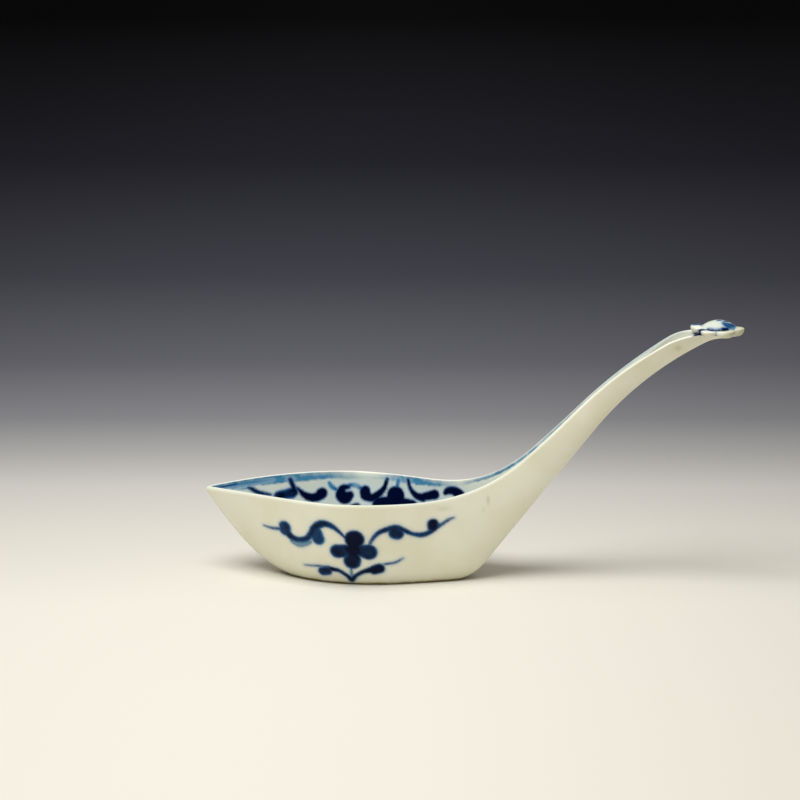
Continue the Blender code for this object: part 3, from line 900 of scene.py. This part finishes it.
@dataclass
class Bowl:
    """Boat-shaped bowl with a pointed lip, a flat base and a pierced well."""

    handle: Handle
    width: float = 46.6
    widest_at: float = 15.5
    lip_reach: float = 22.1
    lip_height: float = 22.3
    lip_wall: float = 1.5
    lip_fullness: float = 1.62
    lip_round: float = 0.3
    wall_curve: float = 1.55
    rim_height: float = 23.3
    rim_low_height: float = 22.6
    rise_lead: float = 8.95
    rise_pull: float = 0.39
    rim_wall: float = 1.1
    floor: float = 3.0
    base_width: float = 23.0
    base_widest_at: float = 21.0
    front_fullness: float = 0.65
    back_fullness: float = 2.3
    run_out: float = 14.95
    well_inset: float = 1.7
    hole_diameter: float = 2.4
    hole_round: float = 0.35
    hole_arc: tuple[float, ...] = (0.0, 25.0, 50.0, 75.0)  # degrees round a hole's rounded edge
    hole_sides: int = 36
    cutter_reach: float = 1.0  # the cutter goes this far past the floor, straight from the overshoot on
    cutter_overshoot: float = 0.03
    rings: tuple[tuple[float, float, int], ...] = ((13.0, 7.6, 6), (25.0, 14.4, 12))
    prow_rows: int = 100
    well_rows: int = 28
    back_rows: int = 96

    def rim_low_at(self) -> float:
        """Place where the rim starts to rise to the handle."""
        return self.handle.base_length - self.rise_lead

    def half_flats(self, distances: Array, inset: float) -> Array:
        """Half the width of the flat bottom.

        Args:
            distances: lengths behind its widest place.
            inset: what is taken off all round.

        Returns:
            Half the width at each.
        """
        length = self.handle.base_length - self.base_widest_at + self.run_out - inset
        offset = np.clip(distances / length, 0.0, 1.0)
        return (self.base_width / 2 - inset) * (1.0 - offset**2) ** self.back_fullness

    def half_widths(self, x: Array, tip_x: float, wall: float) -> Array:
        """Half the width at the rim.

        Args:
            x: places along the bowl.
            tip_x: where the lip ends.
            wall: what is taken off.

        Returns:
            Half the width at each.
        """
        widest = self.width / 2 - wall
        left = np.clip((self.widest_at - x) / (self.widest_at - tip_x), 0.0, 1.0)
        front = widest * (1.0 - left**self.lip_fullness)
        fraction = (x - self.widest_at) / (self.handle.root_rim()[0] - self.widest_at)
        return np.where(x < self.widest_at, front, ease(widest, self.handle.root_width / 2 - wall, fraction))

    def rim_heights(self, x: Array) -> Array:
        """Height of the rim over the prow and the well."""
        front = self.rim_height + (self.lip_height - self.rim_height) * (x / self.lip_reach) ** 2
        return np.where(x < 0.0, front, ease(self.rim_height, self.rim_low_height, x / self.rim_low_at()))

    def rim_rise(self, fraction: Array) -> Array:
        """Sweep the rim from its low place up to the lute.

        Args:
            fraction: shares of the way.

        Returns:
            Points between the two rims.
        """
        handle = self.handle
        start, end = vector_rows(self.rim_low_at(), 0.0, self.rim_low_height), handle.root_rim()
        pull = self.rise_pull * np.linalg.norm(end - start)
        thinning = handle.depth_taper * (handle.root_depth - handle.top_depth)
        slope = handle.back_slope - math.atan2(thinning, handle.length())
        after = start + pull * np.array([1.0, 0.0, 0.0])
        before = end - pull * np.array([math.cos(slope), 0.0, math.sin(slope)])
        t, rest = fraction[:, None], 1.0 - fraction[:, None]
        return rest**3 * start + 3 * rest**2 * t * after + 3 * rest * t**2 * before + t**3 * end

    def front(self, reach: float, wall: float, floor: float, inset: float) -> Sections:
        """Sections of the prow, fanned from the flat out to the lip, and of the upright well behind it.

        Args:
            reach: overhang of the lip in front of the base.
            wall: what is taken off the width at the rim.
            floor: height of the bottom.
            inset: what is taken off the flat all round.

        Returns:
            The sections.
        """
        fraction = np.linspace(0.0, 1.0, self.prow_rows, endpoint=False)
        swing, widest = math.pi / 2 * fraction, self.base_widest_at
        well_x = np.linspace(widest, self.rim_low_at(), self.well_rows, endpoint=False)
        keel_x = widest - (widest - inset) * np.cos(swing)
        rim_x = mix(-reach, widest, fraction)
        from_tip = rim_x + reach
        round_x = rim_x + (np.hypot(from_tip, self.lip_round) - from_tip - self.lip_round) * (1.0 - fraction)
        prow_flat = (self.base_width / 2 - inset) * np.sin(swing) ** (2 * self.front_fullness)
        flat = np.append(prow_flat, self.half_flats(well_x - widest, inset))
        keel_x, rim_x, round_x = (np.append(prow_x, well_x) for prow_x in (keel_x, rim_x, round_x))
        return Sections(
            vector_rows(keel_x, 0.0, floor),
            vector_rows(round_x - keel_x, 0.0, 0.0),
            vector_rows(0.0, 0.0, self.rim_heights(rim_x) - floor),
            self.half_widths(rim_x, -reach, wall),
            flat,
            np.full_like(flat, self.wall_curve),
        )

    def shell(self) -> Shell:
        """Build the wall of the bowl, from the tip of the lip to the lute with the handle.

        Returns:
            The wall.
        """
        handle = self.handle
        outer = self.front(self.lip_reach, 0.0, 0.0, 0.0)
        inner = self.front(self.lip_reach - self.lip_wall, self.rim_wall, self.floor, self.well_inset)
        fraction = np.linspace(0.0, 1.0, self.back_rows)
        moves = ((self.rise_lead, 0.0), *handle.back_moves())
        distances = (self.rise_lead + handle.back_length()) * fraction
        keel, _ = follow((self.rim_low_at(), 0.0), 0.0, moves, distances)
        rim = self.rim_rise(fraction)
        toward = (rim - keel) / np.linalg.norm(rim - keel, axis=1, keepdims=True)
        floor = mix(self.floor, handle.root_depth - handle.root_channel, fraction)
        inner_keel = keel + floor[:, None] * toward
        width = self.half_widths(rim[:, 0], -self.lip_reach, 0.0)
        curve, lean = mix(self.wall_curve, handle.curve, fraction), np.zeros_like(keel)
        behind = self.rim_low_at() - self.base_widest_at + distances
        outer = outer + Sections(keel, lean, rim - keel, width, self.half_flats(behind, 0.0), curve)
        inner_flat = self.half_flats(behind, self.well_inset)
        inner = inner + Sections(inner_keel, lean, rim - inner_keel, width - self.rim_wall, inner_flat, curve)
        return Shell(outer, inner, np.ones(len(outer.keel)))

    def hole_places(self) -> list[Pair]:
        """Set out the holes of the well.

        Returns:
            Middle of each hole.
        """
        places = [(self.base_widest_at, 0.0)]
        for length, width, count in self.rings:
            for angle in 2 * np.pi * np.arange(count) / count:
                x = self.base_widest_at + length / 2 * math.cos(angle)
                places.append((x, width / 2 * math.sin(angle)))
        return places

    def hole_profile(self) -> list[Pair]:
        """Outline of the spool that cuts a hole, flared so that the hole's edges are round.

        Returns:
            Radius and height up the spool.
        """
        radius, fillet = self.hole_diameter / 2, self.hole_round
        arc = [math.radians(angle) for angle in self.hole_arc]
        half = [(radius + fillet * (1 - math.cos(a)), fillet * (1 - math.sin(a))) for a in arc]
        last_radius, last_depth = half[-1]
        flare = last_radius + (last_depth + self.cutter_overshoot) * math.tan(arc[-1])
        half += [(flare, -self.cutter_overshoot), (flare, -self.cutter_reach)]
        return half[::-1] + [(r, self.floor - z) for r, z in half]

    def piercing(self, origin_x: float) -> Object:
        """Cutter with a spool for each hole.

        Args:
            origin_x: where x = 0 lies in the frame.

        Returns:
            The cutter.
        """
        angles = 2 * np.pi * np.arange(self.hole_sides) / self.hole_sides
        work = bmesh.new()
        for x, y in self.hole_places():
            loops = []
            for radius, z in self.hole_profile():
                places = vector_rows(x + origin_x + radius * np.cos(angles), y + radius * np.sin(angles), z)
                loops.append([work.verts.new(Vector(place) * MM) for place in places])
            for lower, upper in zip(loops, loops[1:]):
                for side in range(self.hole_sides):
                    after = (side + 1) % self.hole_sides
                    work.faces.new((lower[side], lower[after], upper[after], upper[side]))
            work.faces.new(loops[0][::-1])
            work.faces.new(loops[-1])
        mesh = bpy.data.meshes.new("well_piercing")
        work.to_mesh(mesh)
        work.free()
        mesh.shade_smooth()
        return add_object("well_piercing", mesh)


@dataclass
class Flower:
    """Flower in relief on the handle's end: petals that slope down like a skirt, round a low heart."""

    handle: Handle
    petals: int = 6
    reach: float = 6.85
    notch: float = 1.8
    height: float = 1.2
    notch_height: float = 0.7
    front_lift: float = 0.6
    side_drop: float = 0.6  # the petals beside the heart lie lower than those before and behind it
    plumpness: float = 2.3
    edge_share: float = 0.55
    undercut: float = 1.5
    sink: float = 0.7  # the petals reach this far down on to the handle, and hang lower past its end
    hang: float = 1.15
    hang_start: float = math.radians(115.0)
    hang_full: float = math.radians(70.0)
    recess_radius: float = 3.3  # hollow of the underside
    recess_slope: float = 0.3
    groove: float = 0.3  # depth of the groove round the heart
    groove_share: float = 0.35  # share of a petal's length that the groove takes
    setback: float = 2.17
    lute: float = 0.3
    heart_radius: float = 4.6
    heart_foot: float = 0.75
    heart_height: float = 2.1
    heart_fullness: float = 1.6
    heart_shift: float = 0.35  # laid on a little past the middle
    heart_overlap: float = 0.6  # the petals start this far inside the heart's foot
    heart_base_share: float = 0.97  # size of its bottom against its foot
    flute_depth: float = 0.1
    flutes: int = 9
    sides: int = 240
    rings: int = 36
    under_rings: int = 14

    def middle(self) -> Array:
        """Middle of the flower's underside."""
        return vector_rows(self.handle.toe()[0] - self.setback, 0.0, self.handle.seat_height() + self.lute)

    def angles(self) -> Array:
        """Directions round the flower."""
        return 2 * np.pi * np.arange(self.sides) / self.sides

    def lobes(self) -> Array:
        """1 along the middle of a petal and 0 along a notch, for each direction."""
        return np.abs(np.cos(self.petals / 2 * (self.angles() - np.pi)))

    def rounds(self, rows: Sequence[tuple[Any, Any]]) -> Array:
        """Make loops of points round the flower's middle.

        Args:
            rows: radius and height of loops, which may differ by direction.

        Returns:
            The loops, one row each.
        """
        angle = self.angles()
        loops = [vector_rows(radius * np.cos(angle), radius * np.sin(angle), z) for radius, z in rows]
        return np.concatenate([loop.reshape(-1, self.sides, 3) for loop in loops]) + self.middle()

    def petal_points(self) -> Array:
        """Shape the petals, from the middle of the top over their edge to the underside.

        Returns:
            Loops of points, one row each.
        """
        lobe, angle = self.lobes(), self.angles()
        outline = self.reach - self.notch * (1.0 - lobe)
        forward = np.clip(-np.cos(angle), 0.0, None)
        turn = np.minimum(angle, 2 * np.pi - angle)
        height = self.height - self.side_drop * np.sin(angle) ** 2
        notch_height = np.minimum(self.notch_height, height)
        crest = mix(notch_height, height, np.sqrt(lobe)) + self.front_lift * lobe * forward**3
        edge = self.edge_share * crest
        bottom = -ease(self.sink, self.hang, (self.hang_start - turn) / (self.hang_start - self.hang_full))
        along = np.sin(np.linspace(0.0, np.pi / 2, self.rings + 1))[:, None]
        plump = (1.0 - along**self.plumpness) ** (1.0 / self.plumpness)
        top = mix(edge, crest, plump) - ease(self.groove, 0.0, along / self.groove_share)
        swing = np.linspace(0.0, np.pi / 2, self.under_rings + 1)[1:, None]
        return self.rounds((
            (0.0, crest.min() - self.groove),
            (mix(self.heart_radius - self.heart_overlap, outline, along), top),
            (outline - self.undercut * (1.0 - np.cos(swing)), mix(edge, bottom, np.sin(swing))),
            (self.recess_radius, bottom),
            (self.recess_radius - self.recess_slope, 0.0),
            (0.0, 0.0),
        ))

    def heart_points(self) -> Array:
        """Shape the heart, from its top down to its flat bottom.

        Returns:
            Loops of points, one row each.
        """
        share = np.sin(np.linspace(0.0, np.pi / 2, self.rings + 1))[:, None]
        flute = self.flute_depth * share * (1.0 - share) * np.cos(self.flutes * self.angles())
        dome = self.heart_height * (1.0 - share**self.heart_fullness) ** (1.0 / self.heart_fullness)
        bottom = self.heart_foot - self.groove
        loops = self.rounds((
            (self.heart_radius * share, self.heart_foot + dome + flute),
            (self.heart_radius * self.heart_base_share, bottom),
            (0.0, bottom),
        ))
        return loops + vector_rows(self.heart_shift, 0.0, 0.0)


@dataclass
class Spoon:
    """The whole spoon: places its pieces in the frame, paints them and glazes them."""

    glaze: GlazedPorcelain
    handle: Handle = field(default_factory=Handle)
    rim_band_and_glare: tuple[Triple, ...] = (
        (-21.0, 1.3, 1.8), (-12.0, 1.4, 1.9), (-5.0, 1.5, 2.1), (2.0, 1.25, 2.1), (7.5, 0.95, 1.9),
        (10.0, 0.8, 1.9), (12.7, 0.5, 2.0), (15.3, 0.2, 1.8), (18.0, 0.1, 1.6), (20.8, 0.3, 1.6),
        (23.5, 0.85, 1.7), (26.3, 1.35, 1.8), (32.0, 1.35, 1.8), (34.9, 1.1, 1.8), (37.7, 0.85, 1.8),
        (40.5, 0.45, 1.6), (43.4, 0.25, 1.4), (46.2, 0.6, 1.2), (48.0, 0.85, 1.1), (55.0, 1.05, 1.0),
        (66.0, 0.8, 0.9), (80.0, 0.5, 0.8), (92.0, 0.35, 0.8), (100.0, 0.0, 0.8),
    )  # place along x, strength and depth of the blue band below the rim; its weak stretch from about x 13 to 23 leaves the band pale as a painted highlight, where glare lies on the far inner wall
    pool_mm: float = 2.0  # the glaze gets its pooled colour over this length below the edge's crest
    pool_fade: Course = (
        (-12.0, 10.0, 38.0, 46.0, 62.0, 84.0),
        (0.7, 1.0, 1.0, 0.75, 0.6, 0.3),
    )  # strength of that colour
    edge_mm: Course = ((40.0, 50.0), (0.4, 0.15))  # length of the pale glaze, also a painted highlight, below the edge's crest
    edge_fade: Course = ((101.0, 105.0), (1.0, 0.0))  # its share
    near_edge_shade: Course = ((60.0, 72.0, 105.0), (0.4, 0.25, 0.15))  # painted shade on the near (-Y) edge, in the pooled glaze's colour
    channel_reach: Course = ((62.0, 84.0, 101.0, 105.0), (0.0, 1.0, 1.0, 0.0))  # where it is a channel
    channel_across: Pair = (1.0, 5.5)  # the channel turns greyer, in the pooled glaze's colour, from here to the far edge
    channel_far_grey: float = 0.8
    stains: tuple[tuple[float, float, float, float, float], ...] = (
        (53.1, 22.2, 0.35, 1.1, 0.7),
        (51.9, 19.6, 0.3, 0.7, 0.35),
        (42.4, 20.7, 1.6, 0.7, 0.45),
        (101.0, 62.4, 1.0, 0.8, 0.6),
    )  # place along x and height, reach along each, and strength
    petal_stains: tuple[Triple, ...] = (
        (4.8, 3.0, 1.0),
        (-6.4, 1.5, 0.5),
    )  # place along x from the flower's middle, reach and strength
    petal_pool: float = 0.1
    heart_pool: float = 0.6
    touched_above: float = -0.6  # the flower's underside below this height isn't painted
    foot_mm: Pair = (1.1, 3.2)  # heights over which the painted shade at the foot, dark and then warm, fades out
    foot_shade: float = 2.0
    foot_shade_tint: float = 0.5

    def __post_init__(self) -> None:
        """Make the bowl and the flower for this handle, and find the frame's place."""
        self.bowl = Bowl(self.handle)
        self.flower = Flower(self.handle)
        self.origin_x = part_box("bowl")[0].x / MM + self.bowl.lip_reach

    def to_frame(self, points: Array) -> Array:
        """Turn points in mm from the front of the base into metres in the frame."""
        return (points + np.array([self.origin_x, 0.0, 0.0])) * MM

    def rim_wash(self, points: Array, below_crest: Array) -> tuple[Array, Array]:
        """Thin blue band along the inside of the rim and the edges of the channel.

        Args:
            points: points of a shell.
            below_crest: length down the inside from the crest of the edge.

        Returns:
            Strength of the band, and how far down it each point lies.
        """
        x = points[..., 0]
        places, strengths, depths = np.array(self.rim_band_and_glare).T
        return np.interp(x, places, strengths), below_crest / np.interp(x, places, depths)

    def age(self, points: Array) -> Array:
        """Stains on the near side of the spoon, and painted shade along the edge of the foot.

        Args:
            points: points of a wall.

        Returns:
            Strength at each point.
        """
        found = np.zeros(points.shape[:-1])
        for x, z, reach_x, reach_z, strength in self.stains:
            distance = np.hypot((points[..., 0] - x) / reach_x, (points[..., 2] - z) / reach_z)
            found = np.maximum(found, strength * np.exp(-(distance**2)))
        found = np.where(points[..., 1] < 0.0, found, 0.0)
        # painted shade along the foot: dark just above the floor, then a warm tint higher up
        contact_shade, shade_tint = (ease(1.0, 0.0, points[..., 2] / height) for height in self.foot_mm)
        return found + self.foot_shade * contact_shade + self.foot_shade_tint * shade_tint

    def glaze_shares(self, shell: Shell, points: Array, below: Array) -> tuple[Array, Array]:
        """Find where the glaze pooled and where it ran thin on the edge, lighter as a painted highlight, and
        lay painted shade on the near edge.

        Args:
            shell: a wall.
            points: its points.
            below: length down the inside from the crest of the edge.

        Returns:
            Share of pooled glaze and of painted shade on the near edge, and share of thin pale glaze and
            painted highlight on the edges.
        """
        x, y = points[..., 0], points[..., 1]
        pooled = ease(0.0, 1.0, below / self.pool_mm) * np.interp(x, *self.pool_fade)
        pale = ease(0.0, 1.0, shell.crest()) * ease(1.0, 0.0, below / np.interp(x, *self.edge_mm))
        # painted shade on the near (-Y) edge: it takes the pooled colour and loses its pale highlight
        near = np.interp(x, *self.near_edge_shade) * (y < 0.0)
        reach = np.interp(x, *self.channel_reach)
        start, end = self.channel_across
        # the channel's far half greys towards its far (+Y) edge
        far = self.channel_far_grey * reach * ease(0.0, 1.0, (y - start) / (end - start))
        pooled = np.maximum(pooled, near * shell.spread(0.0, 1.0, 0.0))
        pooled = np.maximum(pooled, far * shell.spread(0.0, 1.0, 1.0))
        pale = pale * np.interp(x, *self.edge_fade) * (1.0 - near / max(self.near_edge_shade[1])) * (1.0 - reach)
        return pooled, pale

    def shell_paint(self, shell: Shell, points: Array) -> MeshPaint:
        """Paint the points of a wall.

        Args:
            shell: the wall.
            points: its points.

        Returns:
            What is painted on each point.
        """
        x = points[..., 0]
        outside = shell.spread(True, False, False)
        past_edge = x > self.edge_fade[0][0]
        within = shell.spread(False, False, True) | (shell.spread(False, True, True) & past_edge)
        places = points[..., (0, 2)].reshape(-1, 2)
        outer_depth, outer_pigment = (values.reshape(x.shape) for values in paint(Surface.OUTSIDE, places))
        inner_depth, inner_pigment = (values.reshape(x.shape) for values in paint(Surface.INSIDE, places))
        depth = np.where(within, inner_depth, np.where(outside, outer_depth, 0.0))
        pigment = np.where(within, inner_pigment, outer_pigment)
        below = shell.below_crest(points)
        wash, band = self.rim_wash(points, below)
        pooled, pale = self.glaze_shares(shell, points, below)
        return MeshPaint(depth, pigment, wash, band, pooled, pale, self.age(points) * outside)

    def flower_paint(self, points: Array, pooled: float) -> MeshPaint:
        """Paint the points of the flower, seen from above.

        Args:
            points: points of the petals or the heart.
            pooled: share of pooled glaze on them.

        Returns:
            What is painted on each point.
        """
        x, y, z = (points - self.flower.middle()).reshape(-1, 3).T
        depth, pigment = paint(Surface.FLOWER, np.stack([x, y], axis=1))
        bare = np.zeros(len(x))  # no band and no pale edge
        stain = bare
        for place, reach, strength in self.petal_stains:
            stain = np.maximum(stain, strength * np.exp(-(((x - place) / reach) ** 2)) * (depth < BLEED))
        touched = np.where(z > self.touched_above, depth, 0.0)
        return MeshPaint(touched, pigment, bare, bare, bare + pooled, bare, stain)

    def pierce(self, piece: Object) -> None:
        """Cut the holes of the well.

        Args:
            piece: the bowl.
        """
        cutter = self.bowl.piercing(self.origin_x)
        cut = piece.modifiers.new("pierced_well", "BOOLEAN")
        cut.operation = "DIFFERENCE"
        cut.solver = "MANIFOLD"
        cut.object = cutter
        bpy.context.view_layer.update()
        evaluated = piece.evaluated_get(bpy.context.evaluated_depsgraph_get())
        mesh = bpy.data.meshes.new_from_object(evaluated)
        piece.modifiers.clear()
        piece.data = mesh
        bpy.data.objects.remove(cutter)
        self.glaze_holes(mesh)

    def glaze_holes(self, mesh: Mesh) -> None:
        """Let the pooled glaze of the well run on over the upper edges of its holes.

        Args:
            mesh: mesh of the pierced bowl.
        """
        places = np.empty(len(mesh.vertices) * 3, np.float32)
        mesh.vertices.foreach_get("co", places)
        places = places.reshape(-1, 3) / MM - np.array([self.origin_x, 0.0, 0.0])
        layer = mesh.attributes["inside"].data
        pooled = np.empty(len(places), np.float32)
        layer.foreach_get("value", pooled)
        upper = places[:, 2] > self.bowl.floor / 2
        for x, y in self.bowl.hole_places():
            pooled[upper & (np.hypot(places[:, 0] - x, places[:, 1] - y) < self.bowl.hole_diameter)] = 1.0
        layer.foreach_set("value", pooled)

    def place(self, piece: Object, material: Material, node: str, slot: str) -> None:
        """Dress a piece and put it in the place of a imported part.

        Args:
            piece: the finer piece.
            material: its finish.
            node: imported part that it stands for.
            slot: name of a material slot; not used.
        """
        piece.data.materials.clear()
        piece.data.materials.append(material)
        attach(piece, "root")
        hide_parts(node)
        LOG.info("%s stands for %s: %d points", piece.name, node, len(piece.data.vertices))

    def seam_normals(self, bowl_points: Array, handle_points: Array) -> Array:
        """Normals of the whole surface at the lute, from the points on both sides of it.

        Args:
            bowl_points: points of the bowl.
            handle_points: points of the handle.

        Returns:
            Outward normals along the lute.
        """
        along, seam = handle_points[1] - bowl_points[-2], handle_points[0]
        normals = np.cross(np.roll(seam, -1, axis=0) - np.roll(seam, 1, axis=0), along)
        return normals / np.maximum(np.linalg.norm(normals, axis=1, keepdims=True), TINY)

    def build(self) -> None:
        """Build, paint and place every piece."""
        shells = self.bowl.shell(), self.handle.shell()
        bowl_points, handle_points = (shell.points() for shell in shells)
        bowl_paint, handle_paint = map(self.shell_paint, shells, (bowl_points, handle_points))
        bowl = grid_object("glazed_bowl", self.to_frame(bowl_points), bowl_paint, (-1,))
        self.pierce(bowl)
        handle = grid_object("glazed_handle", self.to_frame(handle_points), handle_paint, (0, -1))
        normals = self.seam_normals(bowl_points, handle_points)
        for piece in (bowl, handle):
            match_normals(piece, self.to_frame(handle_points[0]), normals)
        petal_points, heart_points = self.flower.petal_points(), self.flower.heart_points()
        petal_paint = self.flower_paint(petal_points, self.petal_pool)
        heart_paint = self.flower_paint(heart_points, self.heart_pool)
        petals = grid_object("relief_petals", self.to_frame(petal_points), petal_paint, ())
        heart = grid_object("relief_heart", self.to_frame(heart_points), heart_paint, ())

        material = self.glaze.material("porcelain_cast_cobalt_painted_clear_glazed")
        self.place(bowl, material, "bowl", "bowl_porcelain")
        self.place(handle, material, "handle", "handle_porcelain")
        self.place(petals, material, "terminal_flower", "petal_porcelain")
        self.place(heart, material, "flower_centre", "heart_cobalt")


@dataclass
class Studio:
    """Plain floor with painted shade that darkens it towards the back, soft light from above, and the camera.
    """

    floor_size: float = 12.0
    floor_cells: int = 4
    floor_roughness: float = 0.9
    floor_specular: float = 0.15
    # the floor's colours darken towards the back: painted shade for light falling off with distance
    floor_stops: tuple[tuple[float, str], ...] = (
        (-0.50, "#ece8de"), (-0.30, "#d0cac0"), (-0.03, "#dad7cd"), (0.06, "#d1cec5"),
        (0.12, "#c6c3bf"), (0.18, "#a6a5a4"), (0.24, "#84858a"), (0.36, "#65666f"),
        (0.60, "#4a4b57"), (1.10, "#303040"), (2.50, "#18181f"),
    )  # colours of the floor by metres behind the spoon
    pool_middle: float = -0.04  # middle, half width and outer brightness of the pool of light on the floor
    pool_reach: float = 0.32
    pool_low: float = 0.70
    backdrop: str = "#0e0e10"
    ambient: str = "#fbf7ef"
    ambient_strength: float = 0.43
    key_place: Triple = (-0.17, -0.40, 0.84)
    key_size: Pair = (0.7, 0.55)
    key_power: float = 9.8
    camera_place: Triple = (0.10387, -0.87080, 0.19505)
    camera_pitch: float = 9.598
    camera_yaw: float = 8.0
    lens: float = 155.36
    sensor: float = 36.0

    def floor_material(self) -> Material:
        """Matt paper, with painted shade towards the back and beside a painted pool of light.

        Returns:
            The material.
        """
        material = bpy.data.materials.new("paper_matt_graded")
        material.use_nodes = True
        tree = material.node_tree
        add = partial(add_node, tree)
        place = add("ShaderNodeTexCoord", result="Object")
        across, depth, _ = add("ShaderNodeSeparateXYZ", (place,)).node.outputs
        first, last = self.floor_stops[0][0], self.floor_stops[-1][0]
        ramp = add("ShaderNodeValToRGB", (add(RANGE, (depth, first, last)),))
        stops = ramp.node.color_ramp.elements
        while len(stops) < len(self.floor_stops):
            stops.new(1.0)
        for stop, (metres, colour) in zip(stops, self.floor_stops):
            stop.position = (metres - first) / (last - first)
            stop.color = linear(colour)
        side = add(MATH, (across, self.pool_middle), operation="SUBTRACT")
        side = add(MATH, (side,), operation="ABSOLUTE")
        fade = add(RANGE, (side, 0.0, self.pool_reach, 1.0, self.pool_low), **SMOOTH)
        shaded = add("ShaderNodeVectorMath", {"Vector": ramp, "Scale": fade}, operation="SCALE")
        shader = tree.nodes["Principled BSDF"].inputs
        tree.links.new(shaded, shader["Base Color"])
        shader["Roughness"].default_value = self.floor_roughness
        shader["Specular IOR Level"].default_value = self.floor_specular
        return material

    def make_floor(self) -> None:
        """Large plain floor, pale round the spoon."""
        work = bmesh.new()
        cells = self.floor_cells
        bmesh.ops.create_grid(work, x_segments=cells, y_segments=cells, size=self.floor_size / 2)
        mesh = bpy.data.meshes.new("floor")
        work.to_mesh(mesh)
        work.free()
        mesh.materials.append(self.floor_material())
        floor = add_object("floor", mesh)
        floor.rotation_euler.z = math.radians(self.camera_yaw)

    def make_world(self) -> None:
        """Even light from all round, dark where it is seen or mirrored."""
        world = bpy.data.worlds.new("studio")
        bpy.context.scene.world = world
        world.use_nodes = True
        tree = world.node_tree
        background = tree.nodes["Background"]
        path = add_node(tree, "ShaderNodeLightPath").node.outputs
        seen = path["Is Camera Ray"]
        for ray in ("Is Glossy Ray", "Is Transmission Ray"):
            seen = add_node(tree, MATH, (seen, path[ray]), operation="MAXIMUM")
        light = [channel * self.ambient_strength for channel in linear(self.ambient)[:3]]
        inputs = {MIX_FACTOR: seen, MIX_A: (*light, 1.0), MIX_B: linear(self.backdrop)}
        shown = add_node(tree, MIX, inputs, MIX_RESULT, **COLOUR)
        tree.links.new(shown, background.inputs["Color"])

    def make_lights(self) -> None:
        """One wide soft light above the spoon."""
        lamp = bpy.data.lights.new("overhead_softbox", "AREA")
        lamp.shape = "RECTANGLE"
        lamp.size, lamp.size_y = self.key_size
        lamp.energy = self.key_power
        key = add_object("overhead_softbox", lamp)
        key.location = self.key_place
        key.rotation_euler = (-Vector(self.key_place)).to_track_quat("-Z", "Y").to_euler()

    def make_camera(self) -> None:
        """Camera at the photograph's angle."""
        data = bpy.data.cameras.new("camera")
        data.lens = self.lens
        data.sensor_width = self.sensor
        camera = add_object("camera", data)
        camera.location = self.camera_place
        camera.rotation_euler = (math.radians(90.0 - self.camera_pitch), 0.0, math.radians(self.camera_yaw))
        bpy.context.scene.camera = camera
        bpy.context.scene.view_settings.view_transform = "Standard"

    def build(self) -> None:
        """Make the floor, the light and the camera."""
        self.make_floor()
        self.make_world()
        self.make_lights()
        self.make_camera()


def main() -> None:
    """Build the spoon and the studio."""
    logging.basicConfig(level=logging.INFO, format="%(message)s")
    Spoon(GlazedPorcelain()).build()
    Studio().build()


if __name__ == "__main__":
    main()
